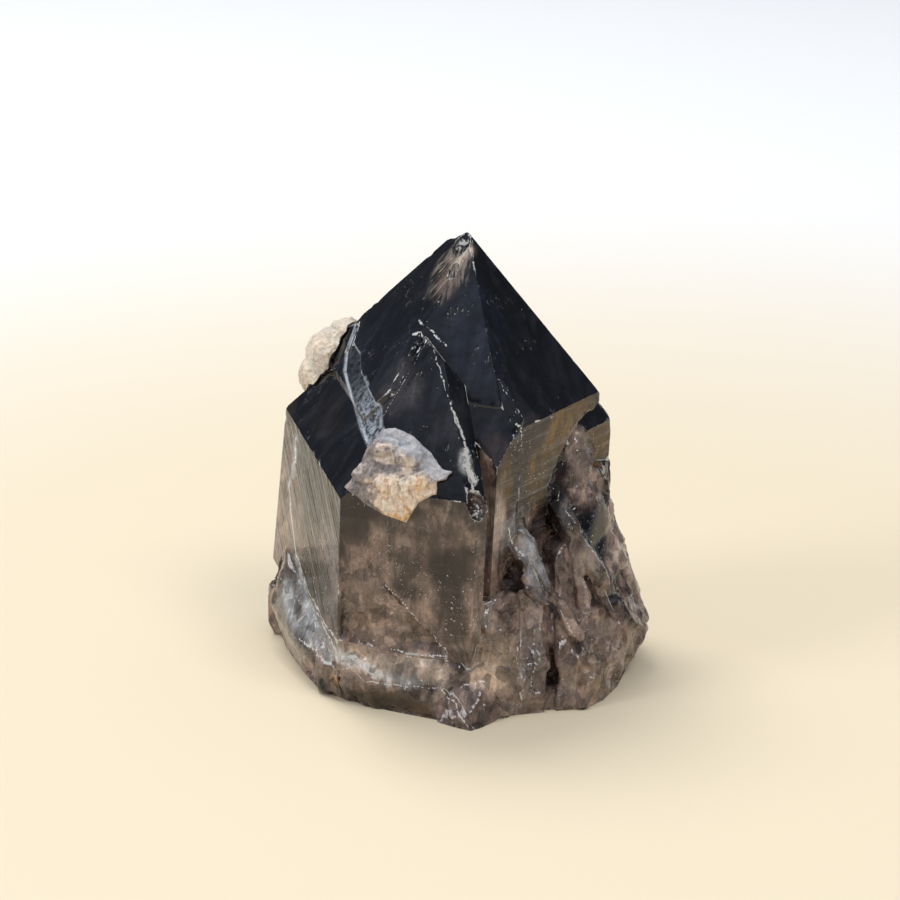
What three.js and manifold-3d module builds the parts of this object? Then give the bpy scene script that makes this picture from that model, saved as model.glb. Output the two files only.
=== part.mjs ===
// A smoky quartz specimen: quartz crystals grown side by side in one orientation on a broken base, with
// a crust and a knob of feldspar. Millimetres, +Z up, seen from the front along +Y. The finished stone
// stands on z = 0 and is centred on the origin in x and y.
import * as THREE from "three";
import { ConvexGeometry } from "three/addons/geometries/ConvexGeometry.js";
import { mergeVertices } from "three/addons/utils/BufferGeometryUtils.js";
import Module from "manifold-3d";

const wasm = await Module();
wasm.setup();

// Quartz has fixed angles: six walls 60 degrees apart, and six slopes that lean in to the tip.
const SLOPE_DIP = 51.8; // degrees from the long axis to the normal of a slope
const FACE_TURN = -11.4; // degrees from straight ahead to the front wall, to the left
const LEAN_FORWARD = 9;
const LEAN_RIGHT = 2.4;
const SIDES = ["front", "frontRight", "backRight", "back", "backLeft", "frontLeft"];

// Distances from the origin to each crystal's six walls and six slopes, in the order of SIDES. foot is
// the height along the long axis at which it starts. taper is the degrees by which one wall flares out
// downwards, measured about the height named in from.
const MAIN_CRYSTAL = {
  walls: [6.9, 11.1, 20.7, 23.5, 25.7, 16.2],
  slopes: [35.95, 37.26, 44.5, 51.1, 50.9, 40.9],
  foot: 6,
};
const FRONT_CRYSTAL = {
  walls: [18, 13.5, -2.6, 16, 30.6, 22.3],
  slopes: [38.2, 33.9, 29.8, 34.2, 47.1, 40.2],
  foot: 6,
  taper: { side: "backLeft", degrees: 10.8, from: 38 },
};
const RIGHT_CRYSTAL = {
  walls: [0, 8.8, 25.1, 22, -6, -12],
  slopes: [34, 30.6, 43.5, 44, 30, 22],
  foot: 22,
};

// A narrow crystal that carries the main crystal's front slope on down between it and the front crystal.
// Its slope has these corners [x, y, z], and its sides run down along the long axis.
const NARROW_SLOPE = [
  [5.8, -19.8, 39.4],
  [2.3, -17.2, 42.8],
  [-0.4, -15.3, 45.5],
  [9.7, -16.7, 45.8],
  [6.7, -13.3, 50.8],
  [0.7, -11.9, 51.7],
];
const NARROW_LENGTH = 27;

// The broken base: chunks given by their corners [x, y, z].
const LEFT_SHOULDER = [
  [-28.4, 12, 15],
  [-20.2, -9, 9],
  [-30.2, 14, 8],
  [-29.4, 6, 7],
  [-26.3, -3, 6],
  [-22.5, -11, 5],
  [-18.6, -16, 6],
  [-29, 14, 0],
  [-27.2, 6, 0],
  [-24.2, -3, 0],
  [-21.2, -10.4, 0],
  [-17.6, -13.6, 0],
  [-10, 0, 0],
  [-10, 14, 0],
  [-15, 5, 18],
];
const BACK_LEFT_FOOT = [
  [-30.2, 13, 8],
  [-30.2, 20, 7.6],
  [-26.4, 23.6, 8],
  [-29, 13, 0],
  [-28.4, 18.6, 0],
  [-24.6, 22.4, 0],
  [-14, 24.4, 0],
  [-13, 24.6, 9],
  [-16, 12, 12],
  [-12, 12, 0],
];
const FRONT_FOOT = [
  [-17.2, -15.9, 11],
  [-8, -17.6, 10],
  [1.5, -19.5, 11],
  [-17.8, -16.4, 6.6],
  [-12, -18.2, 5.4],
  [-6.4, -19.3, 5],
  [0.2, -20.6, 5.2],
  [-17.6, -13.4, 0],
  [-13.3, -16.6, 0],
  [-8.7, -19, 0],
  [-2.6, -21.8, 0],
  [6, -20, 0],
  [-10, 0, 0],
  [6, 0, 0],
  [4, -10, 11],
  [-14, -8, 11],
];
const TOE = [
  [-1.2, -20.4, 5],
  [4.4, -20.6, 5.6],
  [1.8, -24.9, 2],
  [1.9, -25.6, 0],
  [0.4, -24.8, 0],
  [3.3, -24.7, 0],
  [-3, -22.5, 0],
  [5.6, -22.2, 0],
  [6.6, -20.4, 1],
  [-3, -15, 0],
  [7, -15, 0],
  [2, -15, 9],
];
const MIDDLE_FOOT = [
  [1.8, -19.6, 12],
  [10, -17, 16],
  [2.4, -17.8, 17.4],
  [10, -15.2, 18.5],
  [1.5, -20.4, 5],
  [10.2, -19.6, 5],
  [3, -21, 0],
  [10.2, -19.5, 0],
  [0, -10, 0],
  [10, -8, 0],
  [0, -12, 16],
  [9, -8, 18],
];
const STEEP_RIDGE = [
  [9.4, -16.2, 19.6],
  [12.6, -15.4, 17.6],
  [9.2, -18.6, 14],
  [12.7, -18.2, 13.6],
  [13.5, -18.9, 8],
  [9.4, -20.5, 3],
  [13.2, -19.7, 2.4],
  [9.4, -19.6, 0],
  [13.2, -18.9, 0],
  [9, -10, 0],
  [13.4, -10, 0],
  [9.8, -9, 19],
  [12.8, -8, 18],
];
const FROSTED_CREST = [
  [7.3, -13.6, 28.4],
  [9.6, -11.4, 29.9],
  [7.8, -15, 24.9],
  [11.5, -13, 25],
  [10.9, -17.4, 18.6],
  [15.1, -13.6, 18.2],
  [13.8, -16.4, 16],
  [8, -8, 26],
  [8, -8, 15],
  [14.6, -8, 15],
];
const CREVICE_FLOOR = [
  [12.6, -18.2, 0],
  [15.8, -17.6, 0],
  [12.6, -17.4, 3.2],
  [15.8, -16.8, 2.6],
  [12, -10, 0],
  [16, -10, 0],
  [12, -10, 6],
  [16, -10, 6],
];
const RIGHT_FOOT = [
  [14.7, -14.6, 13.8],
  [15.3, -17.6, 6.6],
  [15, -18.3, 0],
  [19.4, -17.4, 0],
  [22.3, -14.3, 0],
  [24.8, -9, 0],
  [26.4, -3, 0],
  [26.6, 6, 0],
  [24, 15, 0],
  [29.4, -1.5, 4.5],
  [30, 2, 7],
  [29.2, 9, 7],
  [26.8, -7.5, 5.5],
  [22.4, -14.2, 6],
  [28.6, 1, 12.3],
  [25.5, -5.5, 13],
  [21, -11.6, 13.8],
  [27, 9, 13],
  [14.9, -12, 14],
  [14.9, -12, 0],
  [12, 5, 0],
  [12, 5, 18],
  [20, 12, 18],
];
const RIGHT_FLANK = [
  [23.9, 1, 23.6],
  [25.3, 0, 20],
  [27.5, 0, 15],
  [29.2, 1, 10],
  [17.6, -7.4, 24.5],
  [22.6, -6.8, 15],
  [21, -9.6, 12],
  [14.6, -11.6, 22],
  [15.6, -12.6, 14],
  [25, 12, 22],
  [28, 9, 10],
  [12, 4, 24],
  [12, 4, 10],
];
const RIGHT_SHOULDER = [
  [22.8, 3.4, 32.4],
  [23.7, 0.8, 27.4],
  [24.3, 0.6, 23.4],
  [20.4, -1.6, 32.4],
  [17.2, -6, 27.5],
  [20, -6.4, 21.5],
  [21.8, -3, 28.6],
  [24, 11, 31],
  [24.6, 10, 22],
  [14, 4, 34],
  [13, 2, 22],
];
const RIGHT_PILLAR = [
  [18.7, 0.2, 39.9],
  [17, -1.9, 38],
  [16.1, -4.6, 33.8],
  [15.6, -7, 28.4],
  [19.4, -4.6, 29],
  [20.4, -0.8, 33],
  [20.3, 1.6, 36.8],
  [13.4, -5, 33],
  [13, -6.6, 27],
  [15, 6, 40],
  [13, 8, 21],
  [21, 6, 21],
];
const CHUNKS = [
  LEFT_SHOULDER,
  BACK_LEFT_FOOT,
  FRONT_FOOT,
  TOE,
  MIDDLE_FOOT,
  STEEP_RIDGE,
  FROSTED_CREST,
  CREVICE_FLOOR,
  RIGHT_FOOT,
  RIGHT_FLANK,
  RIGHT_SHOULDER,
  RIGHT_PILLAR,
];

// Blunt lumps that fill the middle and the back of the base and cap the broken tip: middle, half sizes,
// seed.
const STONE_LUMPS = [
  { at: [1, 9.5, 9], half: [26, 16.5, 15], seed: 21 },
  { at: [8, -4, 9], half: [15, 13, 14], seed: 9 },
  { at: [1, -0.6, 67.4], half: [2.3, 2.5, 2.9], seed: 14 },
];

// Small crystals on the right, lying down to the right: both ends, width and thickness.
const SMALL_CRYSTALS = [
  { from: [14.4, -5.8, 29.6], to: [22.5, -9.6, 16.8], wide: 3.6, thick: 3.4 },
  { from: [14, -12.6, 17.6], to: [18.8, -16.2, 10.6], wide: 2.1, thick: 2.3 },
  { from: [20.6, -8.8, 18.4], to: [24.5, -9.8, 10.8], wide: 1.3, thick: 1.8 },
  { from: [17.4, -8, 24], to: [19.6, -11.8, 13], wide: 2.6, thick: 2.2 },
  { from: [9.4, -12.8, 27], to: [14.2, -16, 18.4], wide: 1.5, thick: 1.6 },
];

// Where the main crystal's right wall is broken away: the edge of the break from its top to its foot, and
// the way in which the broken face runs back from there.
const BREAK_EDGE = [
  [21.9, -1.2, 45.2],
  [17.8, -5.2, 41.3],
  [15.5, -6.9, 37.1],
  [13.7, -8.1, 32.7],
  [12.9, -8.6, 22],
];
const BREAK_INWARD = [2.6, 13, 0];

// Shell-shaped chips that are broken out: middle, half sizes, seed.
const CHIPS = [
  { at: [-1.9, -4.4, 67.3], half: [2.8, 2.6, 4], seed: 31 },
  { at: [8.8, -14.1, 20.6], half: [2.4, 3.3, 3.2], seed: 32 },
  { at: [-27.5, -12.5, 2.5], half: [6, 5.5, 6], seed: 33 },
  { at: [25, -18, 9], half: [6.5, 6.5, 5], seed: 34 },
  { at: [3.9, -24.2, 35.6], half: [2.9, 2.2, 3.6], seed: 36 },
  { at: [6, -25.5, 3.2], half: [2.8, 4, 2.6], seed: 35 },
  { at: [-22, 29.5, 14], half: [11, 8, 13], seed: 37 },
  { at: [16, 30.5, 20], half: [13, 9, 12], seed: 38 },
];

// A flake lifted off the front wall leaves a step along its upper right edge and runs out to the left.
// Points are [across, up, out] on the wall.
const FLAKE = [
  [-11, 25.9, -0.5],
  [1.5, 13.2, -1.4],
  [1.5, 12, -1.3],
  [-6.3, 11.7, -1],
  [-14.9, 12.6, 0],
  [-14.9, 23.9, 0],
];

// A long scar that is etched into the left slopes: its outline [across, up].
const SCAR_DEPTH = 0.4;
const SCAR = [
  [-20.9, 32.6],
  [-17.8, 28.7],
  [-14.5, 26.7],
  [-7.1, 25.1],
  [-0.7, 23.8],
  [5, 23.1],
  [6.2, 24.2],
  [5.7, 26.1],
  [0.8, 28.2],
  [-4.5, 28.5],
  [-10.3, 29.2],
  [-14, 30.7],
  [-17.3, 30.7],
  [-19.6, 32.9],
];

// The feldspar crust: its outline [across, up] on the front crystal's slope, over the edge of which it
// droops, and the lumps in it as [across, up] with a half width.
const FELDSPAR_GAP = 0.3;
const CRUST_THICKNESS = 1.1;
const CRUST = [
  [-14.7, 19.3],
  [-12.9, 23.2],
  [-11.6, 26.7],
  [-10.4, 28.5],
  [-8.5, 28.8],
  [-6.5, 28.4],
  [-3.1, 26.2],
  [-0.8, 23.8],
  [0.6, 23.5],
  [-0.1, 22.4],
  [-1.2, 21.8],
  [-1.2, 20.1],
  [-3.6, 18.4],
  [-5.2, 15.7],
  [-8.9, 16.4],
  [-11.4, 17.4],
  [-13.5, 18.6],
];
const CRUST_LUMPS = [
  { across: -9.4, up: 25.8, half: 3 },
  { across: -5.8, up: 25, half: 3.2 },
  { across: -11.2, up: 21.6, half: 3.1 },
  { across: -7.4, up: 20.8, half: 3.6 },
  { across: -3.6, up: 21.6, half: 2.9 },
];
const KNOB_LUMPS = [
  { at: [-19.4, 10.8, 47.4], half: [4.8, 5.5, 5.4], seed: 41 },
  { at: [-21.4, 10.4, 44.6], half: [3.8, 4.6, 3.9], seed: 42 },
  { at: [-17, 11, 50.6], half: [3.4, 4, 3.4], seed: 43 },
];
const LUMP_CORNERS = 64;
const LUMP_ROUGHNESS = 0.13;

const radians = THREE.MathUtils.degToRad;
const lean = new THREE.Matrix4()
  .makeRotationY(radians(LEAN_RIGHT))
  .multiply(new THREE.Matrix4().makeRotationX(radians(LEAN_FORWARD)));

// A closed geometry as a solid that can be joined and cut.
function solidOf(geometry) {
  const bare = geometry.index ? geometry.toNonIndexed() : geometry.clone();
  for (const name of Object.keys(bare.attributes)) {
    if (name !== "position") bare.deleteAttribute(name);
  }
  const merged = mergeVertices(bare, 1e-4);
  return new wasm.Manifold(
    new wasm.Mesh({
      numProp: 3,
      vertProperties: merged.attributes.position.array,
      triVerts: new Uint32Array(merged.index.array),
    }),
  );
}

// The geometry of a solid.
function geometryOf(solid) {
  const { numProp, numVert, vertProperties, triVerts } = solid.getMesh();
  const positions = new Float32Array(numVert * 3);
  for (let i = 0; i < numVert; i++) {
    positions.set(vertProperties.subarray(i * numProp, i * numProp + 3), i * 3);
  }
  const geometry = new THREE.BufferGeometry();
  geometry.setAttribute("position", new THREE.BufferAttribute(positions, 3));
  geometry.setIndex(new THREE.BufferAttribute(new Uint32Array(triVerts), 1));
  geometry.computeVertexNormals();
  return geometry;
}

// The convex body inside a set of planes: each corner is where three planes meet and no other cuts it off.
function bodyInside(planes) {
  const corners = [];
  for (let a = 0; a < planes.length; a++) {
    for (let b = a + 1; b < planes.length; b++) {
      for (let c = b + 1; c < planes.length; c++) {
        const [p, q, r] = [planes[a], planes[b], planes[c]];
        const rows = new THREE.Matrix3().set(...p.normal, ...q.normal, ...r.normal);
        if (Math.abs(rows.determinant()) < 1e-6) continue;
        const corner = new THREE.Vector3(p.far, q.far, r.far).applyMatrix3(rows.invert());
        if (planes.every(({ normal, far }) => normal.dot(corner) < far + 1e-6)) corners.push(corner);
      }
    }
  }
  return new ConvexGeometry(corners);
}

// A quartz crystal in the shared orientation, grown on every side by an extra thickness.
function crystal({ walls, slopes, foot, taper }, extra = 0) {
  const planes = [{ normal: new THREE.Vector3(0, 0, -1), far: extra - foot }];
  const dip = radians(SLOPE_DIP);
  SIDES.forEach((side, i) => {
    const turn = radians(FACE_TURN + 60 * i);
    const outward = new THREE.Vector3(Math.sin(turn), -Math.cos(turn), 0);
    const flare = taper?.side === side ? radians(taper.degrees) : 0;
    const wall = outward.clone().multiplyScalar(Math.cos(flare)).setZ(Math.sin(flare));
    const atTop = outward.clone().multiplyScalar(walls[i]).setZ(taper?.from ?? 0);
    planes.push({ normal: wall, far: wall.dot(atTop) + extra });
    const slope = outward.clone().multiplyScalar(Math.sin(dip)).setZ(Math.cos(dip));
    planes.push({ normal: slope, far: slopes[i] + extra });
  });
  return solidOf(bodyInside(planes).applyMatrix4(lean));
}

// Numbers from 0 to 1 that look random and are the same each time for one seed.
function dice(seed) {
  let state = seed * 7919 + 17;
  return () => {
    state = (state * 16807) % 2147483647;
    return state / 2147483647;
  };
}

// A blunt lump: the hull of points spread evenly over an ellipsoid and pushed in by chance.
function lump({ at, half, seed, corners = LUMP_CORNERS, roughness = LUMP_ROUGHNESS }) {
  const roll = dice(seed);
  const golden = Math.PI * (3 - Math.sqrt(5));
  const points = [];
  for (let i = 0; i < corners; i++) {
    const height = 1 - (2 * (i + 0.5)) / corners;
    const ring = Math.sqrt(1 - height * height);
    const turn = golden * i + roll();
    const reach = 1 - roughness * roll();
    points.push(
      new THREE.Vector3(ring * Math.cos(turn) * half[0], ring * Math.sin(turn) * half[1], height * half[2])
        .multiplyScalar(reach)
        .add(new THREE.Vector3(...at)),
    );
  }
  return solidOf(new ConvexGeometry(points));
}

// The convex solid with these corners.
function chunk(corners) {
  return solidOf(new ConvexGeometry(corners.map((corner) => new THREE.Vector3(...corner))));
}

// The solid between a slope's corners and the same corners further down the long axis.
function columnUnder(corners, length) {
  const down = new THREE.Vector3(0, 0, -length).applyMatrix4(lean);
  const feet = corners.map((corner) => new THREE.Vector3(...corner).add(down).toArray());
  return chunk([...corners, ...feet]);
}

// A small six-sided crystal from one point to another, which narrows to a blunt end.
function smallCrystal({ from, to, wide, thick }) {
  const start = new THREE.Vector3(...from);
  const along = new THREE.Vector3(...to).sub(start);
  const turn = new THREE.Quaternion().setFromUnitVectors(
    new THREE.Vector3(0, 0, 1),
    along.clone().normalize(),
  );
  const points = [];
  for (const [place, scale] of [[0, 1], [0.84, 1], [1, 0.4]]) {
    for (let i = 0; i < 6; i++) {
      const angle = (Math.PI / 3) * i;
      points.push(
        new THREE.Vector3((Math.cos(angle) * wide * scale) / 2, (Math.sin(angle) * thick * scale) / 2, 0)
          .applyQuaternion(turn)
          .addScaledVector(along, place)
          .add(start),
      );
    }
  }
  return solidOf(new ConvexGeometry(points));
}

// The frame of one wall or slope of the crystals: x across it, y up it and z out of it.
function faceFrame(side, dip) {
  const turn = radians(FACE_TURN + 60 * SIDES.indexOf(side));
  const across = new THREE.Vector3(Math.cos(turn), Math.sin(turn), 0);
  const out = new THREE.Vector3(Math.sin(turn) * Math.sin(dip), -Math.cos(turn) * Math.sin(dip), Math.cos(dip));
  const up = new THREE.Vector3().crossVectors(out, across);
  return lean.clone().multiply(new THREE.Matrix4().makeBasis(across, up, out));
}

// A straight column with this outline [across, up] on a face, between two heights out of the face.
function columnOn(frame, outline, low, high) {
  const shape = new THREE.Shape(outline.map(([across, up]) => new THREE.Vector2(across, up)));
  const column = new THREE.ExtrudeGeometry(shape, { depth: high - low, bevelEnabled: false });
  return solidOf(column.translate(0, 0, low).applyMatrix4(frame));
}

const join = (solids) => solids.reduce((joined, next) => joined.add(next));
const frontWall = faceFrame("front", Math.PI / 2);
const frontSlope = faceFrame("front", radians(SLOPE_DIP));
const leftSlope = faceFrame("frontLeft", radians(SLOPE_DIP));

// The wedge that is missing from the main crystal's right wall.
const breakCorners = BREAK_EDGE.flatMap(([x, y, z]) => {
  const [dx, dy, dz] = BREAK_INWARD;
  return [
    [x - 0.4 * dx, y - 0.4 * dy, z - 0.4 * dz],
    [x + dx, y + dy, z + dz],
    [x + 14, y - 4, z],
    [x + 14, y + dy, z],
  ];
});
const brokenWall = join(
  BREAK_EDGE.slice(1).map((_, i) => chunk(breakCorners.slice(4 * i, 4 * i + 8))),
);

// The flake, with its top lifted clear of the wall.
const flake = solidOf(
  new ConvexGeometry(
    FLAKE.flatMap(([across, up, out]) => [
      new THREE.Vector3(across, up, FRONT_CRYSTAL.walls[0] + out),
      new THREE.Vector3(across, up, FRONT_CRYSTAL.walls[0] + 0.5),
    ]),
  ).applyMatrix4(frontWall),
);

// The scar runs from the main crystal's left slope on to the front crystal's.
const scarIn = ({ slopes }) => columnOn(leftSlope, SCAR, slopes[5] - SCAR_DEPTH, slopes[5] + 3);
const ground = solidOf(new THREE.BoxGeometry(200, 200, 100).translate(0, 0, -50));

const quartz = join([
  crystal(MAIN_CRYSTAL).subtract(brokenWall).subtract(scarIn(MAIN_CRYSTAL)),
  crystal(FRONT_CRYSTAL).subtract(flake).subtract(scarIn(FRONT_CRYSTAL)),
  columnUnder(NARROW_SLOPE, NARROW_LENGTH),
  crystal(RIGHT_CRYSTAL),
  ...CHUNKS.map(chunk),
  ...STONE_LUMPS.map(lump),
])
  .subtract(join(CHIPS.map(lump)))
  .add(join(SMALL_CRYSTALS.map(smallCrystal)))
  .subtract(ground);

// Feldspar keeps a hair's gap to the quartz it grew on.
const quartzSkin = join([MAIN_CRYSTAL, FRONT_CRYSTAL].map((c) => crystal(c, FELDSPAR_GAP)));
const crustLevel = FRONT_CRYSTAL.slopes[0] + CRUST_THICKNESS;
const crustLumps = CRUST_LUMPS.map(({ across, up, half }, i) => {
  const middle = new THREE.Vector3(across, up, crustLevel - 0.3).applyMatrix4(frontSlope);
  return lump({ at: middle.toArray(), half: [half, half * 0.62, half * 0.56], seed: 50 + i });
});
const crust = crystal(FRONT_CRYSTAL, CRUST_THICKNESS)
  .add(join(crustLumps))
  .intersect(columnOn(frontSlope, CRUST, crustLevel - 9, crustLevel + 4))
  .subtract(quartzSkin);
const knob = join(KNOB_LUMPS.map(lump)).subtract(quartzSkin);

const quartzGeometry = geometryOf(quartz);
quartzGeometry.computeBoundingBox();
const middle = quartzGeometry.boundingBox.getCenter(new THREE.Vector3());

// Add one named piece to the specimen, moved so that the stone is centred on the origin.
const specimen = new THREE.Group();
function addPiece(name, geometry, material) {
  const piece = new THREE.Mesh(geometry.translate(-middle.x, -middle.y, 0), material);
  piece.name = name;
  specimen.add(piece);
}

addPiece(
  "smoky_quartz",
  quartzGeometry,
  new THREE.MeshStandardMaterial({ color: 0x2b2622, roughness: 0.15, metalness: 0, flatShading: true }),
);
addPiece(
  "feldspar_crust",
  geometryOf(crust),
  new THREE.MeshStandardMaterial({ color: 0xc9b09a, roughness: 0.6, metalness: 0, flatShading: true }),
);
addPiece(
  "feldspar_knob",
  geometryOf(knob),
  new THREE.MeshStandardMaterial({ color: 0xd6c3b4, roughness: 0.55, metalness: 0, flatShading: true }),
);

export default specimen;
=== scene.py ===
"""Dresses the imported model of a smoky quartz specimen: its crystals, its broken base, the feldspar grown on
it, and a plain stage. Lengths in the functions are millimetres until a mesh is written, in metres."""

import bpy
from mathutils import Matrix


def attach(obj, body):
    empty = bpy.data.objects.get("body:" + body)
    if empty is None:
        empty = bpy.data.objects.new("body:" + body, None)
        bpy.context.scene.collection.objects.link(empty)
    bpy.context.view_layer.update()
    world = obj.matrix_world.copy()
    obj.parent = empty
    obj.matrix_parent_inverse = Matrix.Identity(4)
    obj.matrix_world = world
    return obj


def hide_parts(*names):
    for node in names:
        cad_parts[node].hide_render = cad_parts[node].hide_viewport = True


bl_info = {
    "name": "Smoky quartz specimen",
    "version": (1, 0, 0),
    "blender": (4, 5, 0),
    "location": "View3D > Sidebar > Smoky Quartz",
    "description": "Finishes a smoky quartz crystal cluster and sets it on a plain stage",
    "category": "Object",
}

import itertools
import math

import bmesh
import bpy
import numpy as np
from bpy.props import FloatProperty, FloatVectorProperty, PointerProperty
from mathutils import Vector

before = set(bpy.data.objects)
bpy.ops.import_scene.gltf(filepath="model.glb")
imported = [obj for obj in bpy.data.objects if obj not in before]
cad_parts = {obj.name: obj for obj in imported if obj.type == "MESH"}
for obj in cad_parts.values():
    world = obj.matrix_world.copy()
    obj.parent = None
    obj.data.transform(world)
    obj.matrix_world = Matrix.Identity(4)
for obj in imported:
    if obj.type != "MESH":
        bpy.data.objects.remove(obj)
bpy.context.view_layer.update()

MM = 0.001
QUARTZ_IOR = 1.544
# The model is centred on its box; the photograph's measures are taken from a point this far off, in mm.
CENTRING = np.array((0.10, 0.20, 0.0))

# The orientation that all the crystals share, as in the CAD model.
SLOPE_DIP = 51.8
FACE_TURN = -11.4
LEAN_FORWARD = 9.0
LEAN_RIGHT = 2.4
LEFT_WALL_FLARE = 10.8
NARROW_WALL_TURN = -29.4


def turn_matrix(axis, degrees):
    """The matrix that turns points about x or y by an angle."""
    c, s = math.cos(math.radians(degrees)), math.sin(math.radians(degrees))
    if axis == "x":
        return np.array(((1, 0, 0), (0, c, -s), (0, s, c)))
    return np.array(((c, 0, s), (0, 1, 0), (-s, 0, c)))


LEAN = turn_matrix("y", LEAN_RIGHT) @ turn_matrix("x", LEAN_FORWARD)


def face_frame(turn, dip):
    """Unit vectors across, up and out of one crystal face. Its outward normal leans dip degrees from the
    long axis and is turned by an angle to the right from the front face."""
    turn, dip = math.radians(FACE_TURN + turn), math.radians(dip)
    across = np.array((math.cos(turn), math.sin(turn), 0.0))
    out = np.array((math.sin(turn) * math.sin(dip), -math.cos(turn) * math.sin(dip), math.cos(dip)))
    return np.stack([LEAN @ v for v in (across, np.cross(out, across), out)])


FRONT, FRONT_RIGHT, BACK_RIGHT, BACK, BACK_LEFT, FRONT_LEFT = range(6)
SLOPE_FRAMES = [face_frame(60 * side, SLOPE_DIP) for side in range(6)]
WALL_FRAMES = [face_frame(60 * side, 90.0) for side in range(6)]
WALL_FRAMES.append(face_frame(60 * BACK_LEFT, 90.0 - LEFT_WALL_FLARE))
WALL_FRAMES.append(face_frame(NARROW_WALL_TURN, 90.0))


# Numbers that look random


def dice(cell, seed):
    """A number from 0 to 1 for each whole-numbered place, from a hash of it."""
    x, y, z = cell.T
    h = (x * 73856093) ^ (y * 19349663) ^ (z * 83492791) ^ (seed * 2654435761)
    h = ((h ^ (h >> 13)) * 1274126177) & 0x7FFFFFFF
    h = ((h ^ (h >> 15)) * 2246822519) & 0x7FFFFFFF
    return h / 0x7FFFFFFF


def value_noise(points, seed=0):
    """Smooth noise from -1 to 1: the eight corners of the unit cell round a point get random numbers,
    which are blended with the weight 3t^2 - 2t^3 along each axis."""
    cell = np.floor(points).astype(np.int64)
    t = points - cell
    t = t * t * (3.0 - 2.0 * t)
    total = np.zeros(len(points))
    for corner in itertools.product((0, 1), repeat=3):
        weight = np.prod(np.where(corner, t, 1.0 - t), axis=1)
        total += weight * (2.0 * dice(cell + corner, seed) - 1.0)
    return total


def broken_cells(points, size, seed=0):
    """For seeds that lie at random, one in each cubic cell: the distance to the nearest, in cells, whose
    square gives hollows that meet in ridges; how much further the second is; and the height of a flat
    facet through the nearest that tilts at random and falls to nothing where two cells meet."""
    points = points / size
    home = np.floor(points).astype(np.int64)
    nearest = np.full(len(points), 9.0)
    second = nearest.copy()
    height = np.zeros(len(points))
    for step in itertools.product((-1, 0, 1), repeat=3):
        cell = home + step
        away = points - cell - np.stack([dice(cell, seed + k) for k in (1, 2, 3)], axis=1)
        gap = np.linalg.norm(away, axis=1)
        closer = gap < nearest
        second = np.where(closer, nearest, np.minimum(second, gap))
        nearest = np.where(closer, gap, nearest)
        lean = np.stack([dice(cell[closer], seed + k) for k in (4, 5, 6)], axis=1) - 0.5
        height[closer] = (away[closer] * lean).sum(1)
    gap = second - nearest
    return nearest, gap, size * height * ramp(gap, 0.0, 0.2)


def layered_noise(points, size, layers=4, seed=0):
    """Noise summed over layers, each half the size and 0.55 of the height of the one before."""
    total, height, norm = 0.0, 1.0, 0.0
    for layer in range(layers):
        total = total + height * value_noise(points * (2.03**layer / size), seed + 17 * layer)
        norm += height
        height *= 0.55
    return total / norm


def ramp(value, low, high):
    """0 below low, 1 above high and 3t^2 - 2t^3 between."""
    t = np.clip((value - low) / (high - low), 0.0, 1.0)
    return t * t * (3.0 - 2.0 * t)


# Meshes as arrays


def merged_arrays(name):
    """The merged corners, in mm, and the triangles of a copy of a CAD node."""
    work = bmesh.new()
    work.from_mesh(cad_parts[name].data)
    bmesh.ops.remove_doubles(work, verts=work.verts, dist=2e-6)
    bmesh.ops.triangulate(work, faces=work.faces)
    mesh = bpy.data.meshes.new("work")
    work.to_mesh(mesh)
    work.free()
    points = np.empty(len(mesh.vertices) * 3)
    mesh.vertices.foreach_get("co", points)
    corners = np.empty(len(mesh.loops), np.int32)
    mesh.loops.foreach_get("vertex_index", corners)
    bpy.data.meshes.remove(mesh)
    return points.reshape(-1, 3) / MM, corners.reshape(-1, 3).astype(np.int64)


def triangle_normals(points, triangles):
    """Unit normals of the triangles, and their areas."""
    a, b, c = (points[triangles[:, i]] for i in range(3))
    cross = np.cross(b - a, c - a)
    length = np.linalg.norm(cross, axis=1)
    return cross / np.maximum(length, 1e-12)[:, None], length / 2


def point_normals(points, triangles):
    """Unit normals of the points: the area-weighted mean of the triangles round each."""
    normals, areas = triangle_normals(points, triangles)
    total = np.zeros_like(points)
    for i in range(3):
        np.add.at(total, triangles[:, i], normals * areas[:, None])
    return total / np.maximum(np.linalg.norm(total, axis=1), 1e-12)[:, None]


def edge_table(triangles):
    """The mesh's edges as point pairs, and for each triangle the rows of its three edges."""
    ends = np.stack((triangles, np.roll(triangles, -1, axis=1)), axis=-1)
    ends = np.sort(ends, axis=-1).reshape(-1, 2)
    span = int(triangles.max()) + 1
    keys, rows = np.unique(ends[:, 0] * span + ends[:, 1], return_inverse=True)
    return np.stack((keys // span, keys % span), axis=1), rows.reshape(-1, 3)


def sharp_samples(points, triangles, keep, degrees=18.0, step=0.35):
    """Points every step along the edges that bend more than an angle and touch a triangle in keep."""
    normals, _ = triangle_normals(points, triangles)
    edges, rows = edge_table(triangles)
    order = np.argsort(rows.ravel(), kind="stable")
    owners = (order // 3)[np.searchsorted(rows.ravel()[order], np.arange(len(edges)))]
    others = (order // 3)[np.searchsorted(rows.ravel()[order], np.arange(len(edges)), side="right") - 1]
    bend = np.einsum("ij,ij->i", normals[owners], normals[others])
    chosen = (bend < math.cos(math.radians(degrees))) & (keep[owners] | keep[others])
    start, end = points[edges[chosen, 0]], points[edges[chosen, 1]]
    counts = np.maximum(2, np.ceil(np.linalg.norm(end - start, axis=1) / step).astype(int) + 1)
    which = np.repeat(np.arange(len(counts)), counts)
    place = np.arange(len(which)) - np.repeat(np.cumsum(counts) - counts, counts)
    t = (place / (counts[which] - 1))[:, None]
    return start[which] * (1 - t) + end[which] * t


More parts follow.
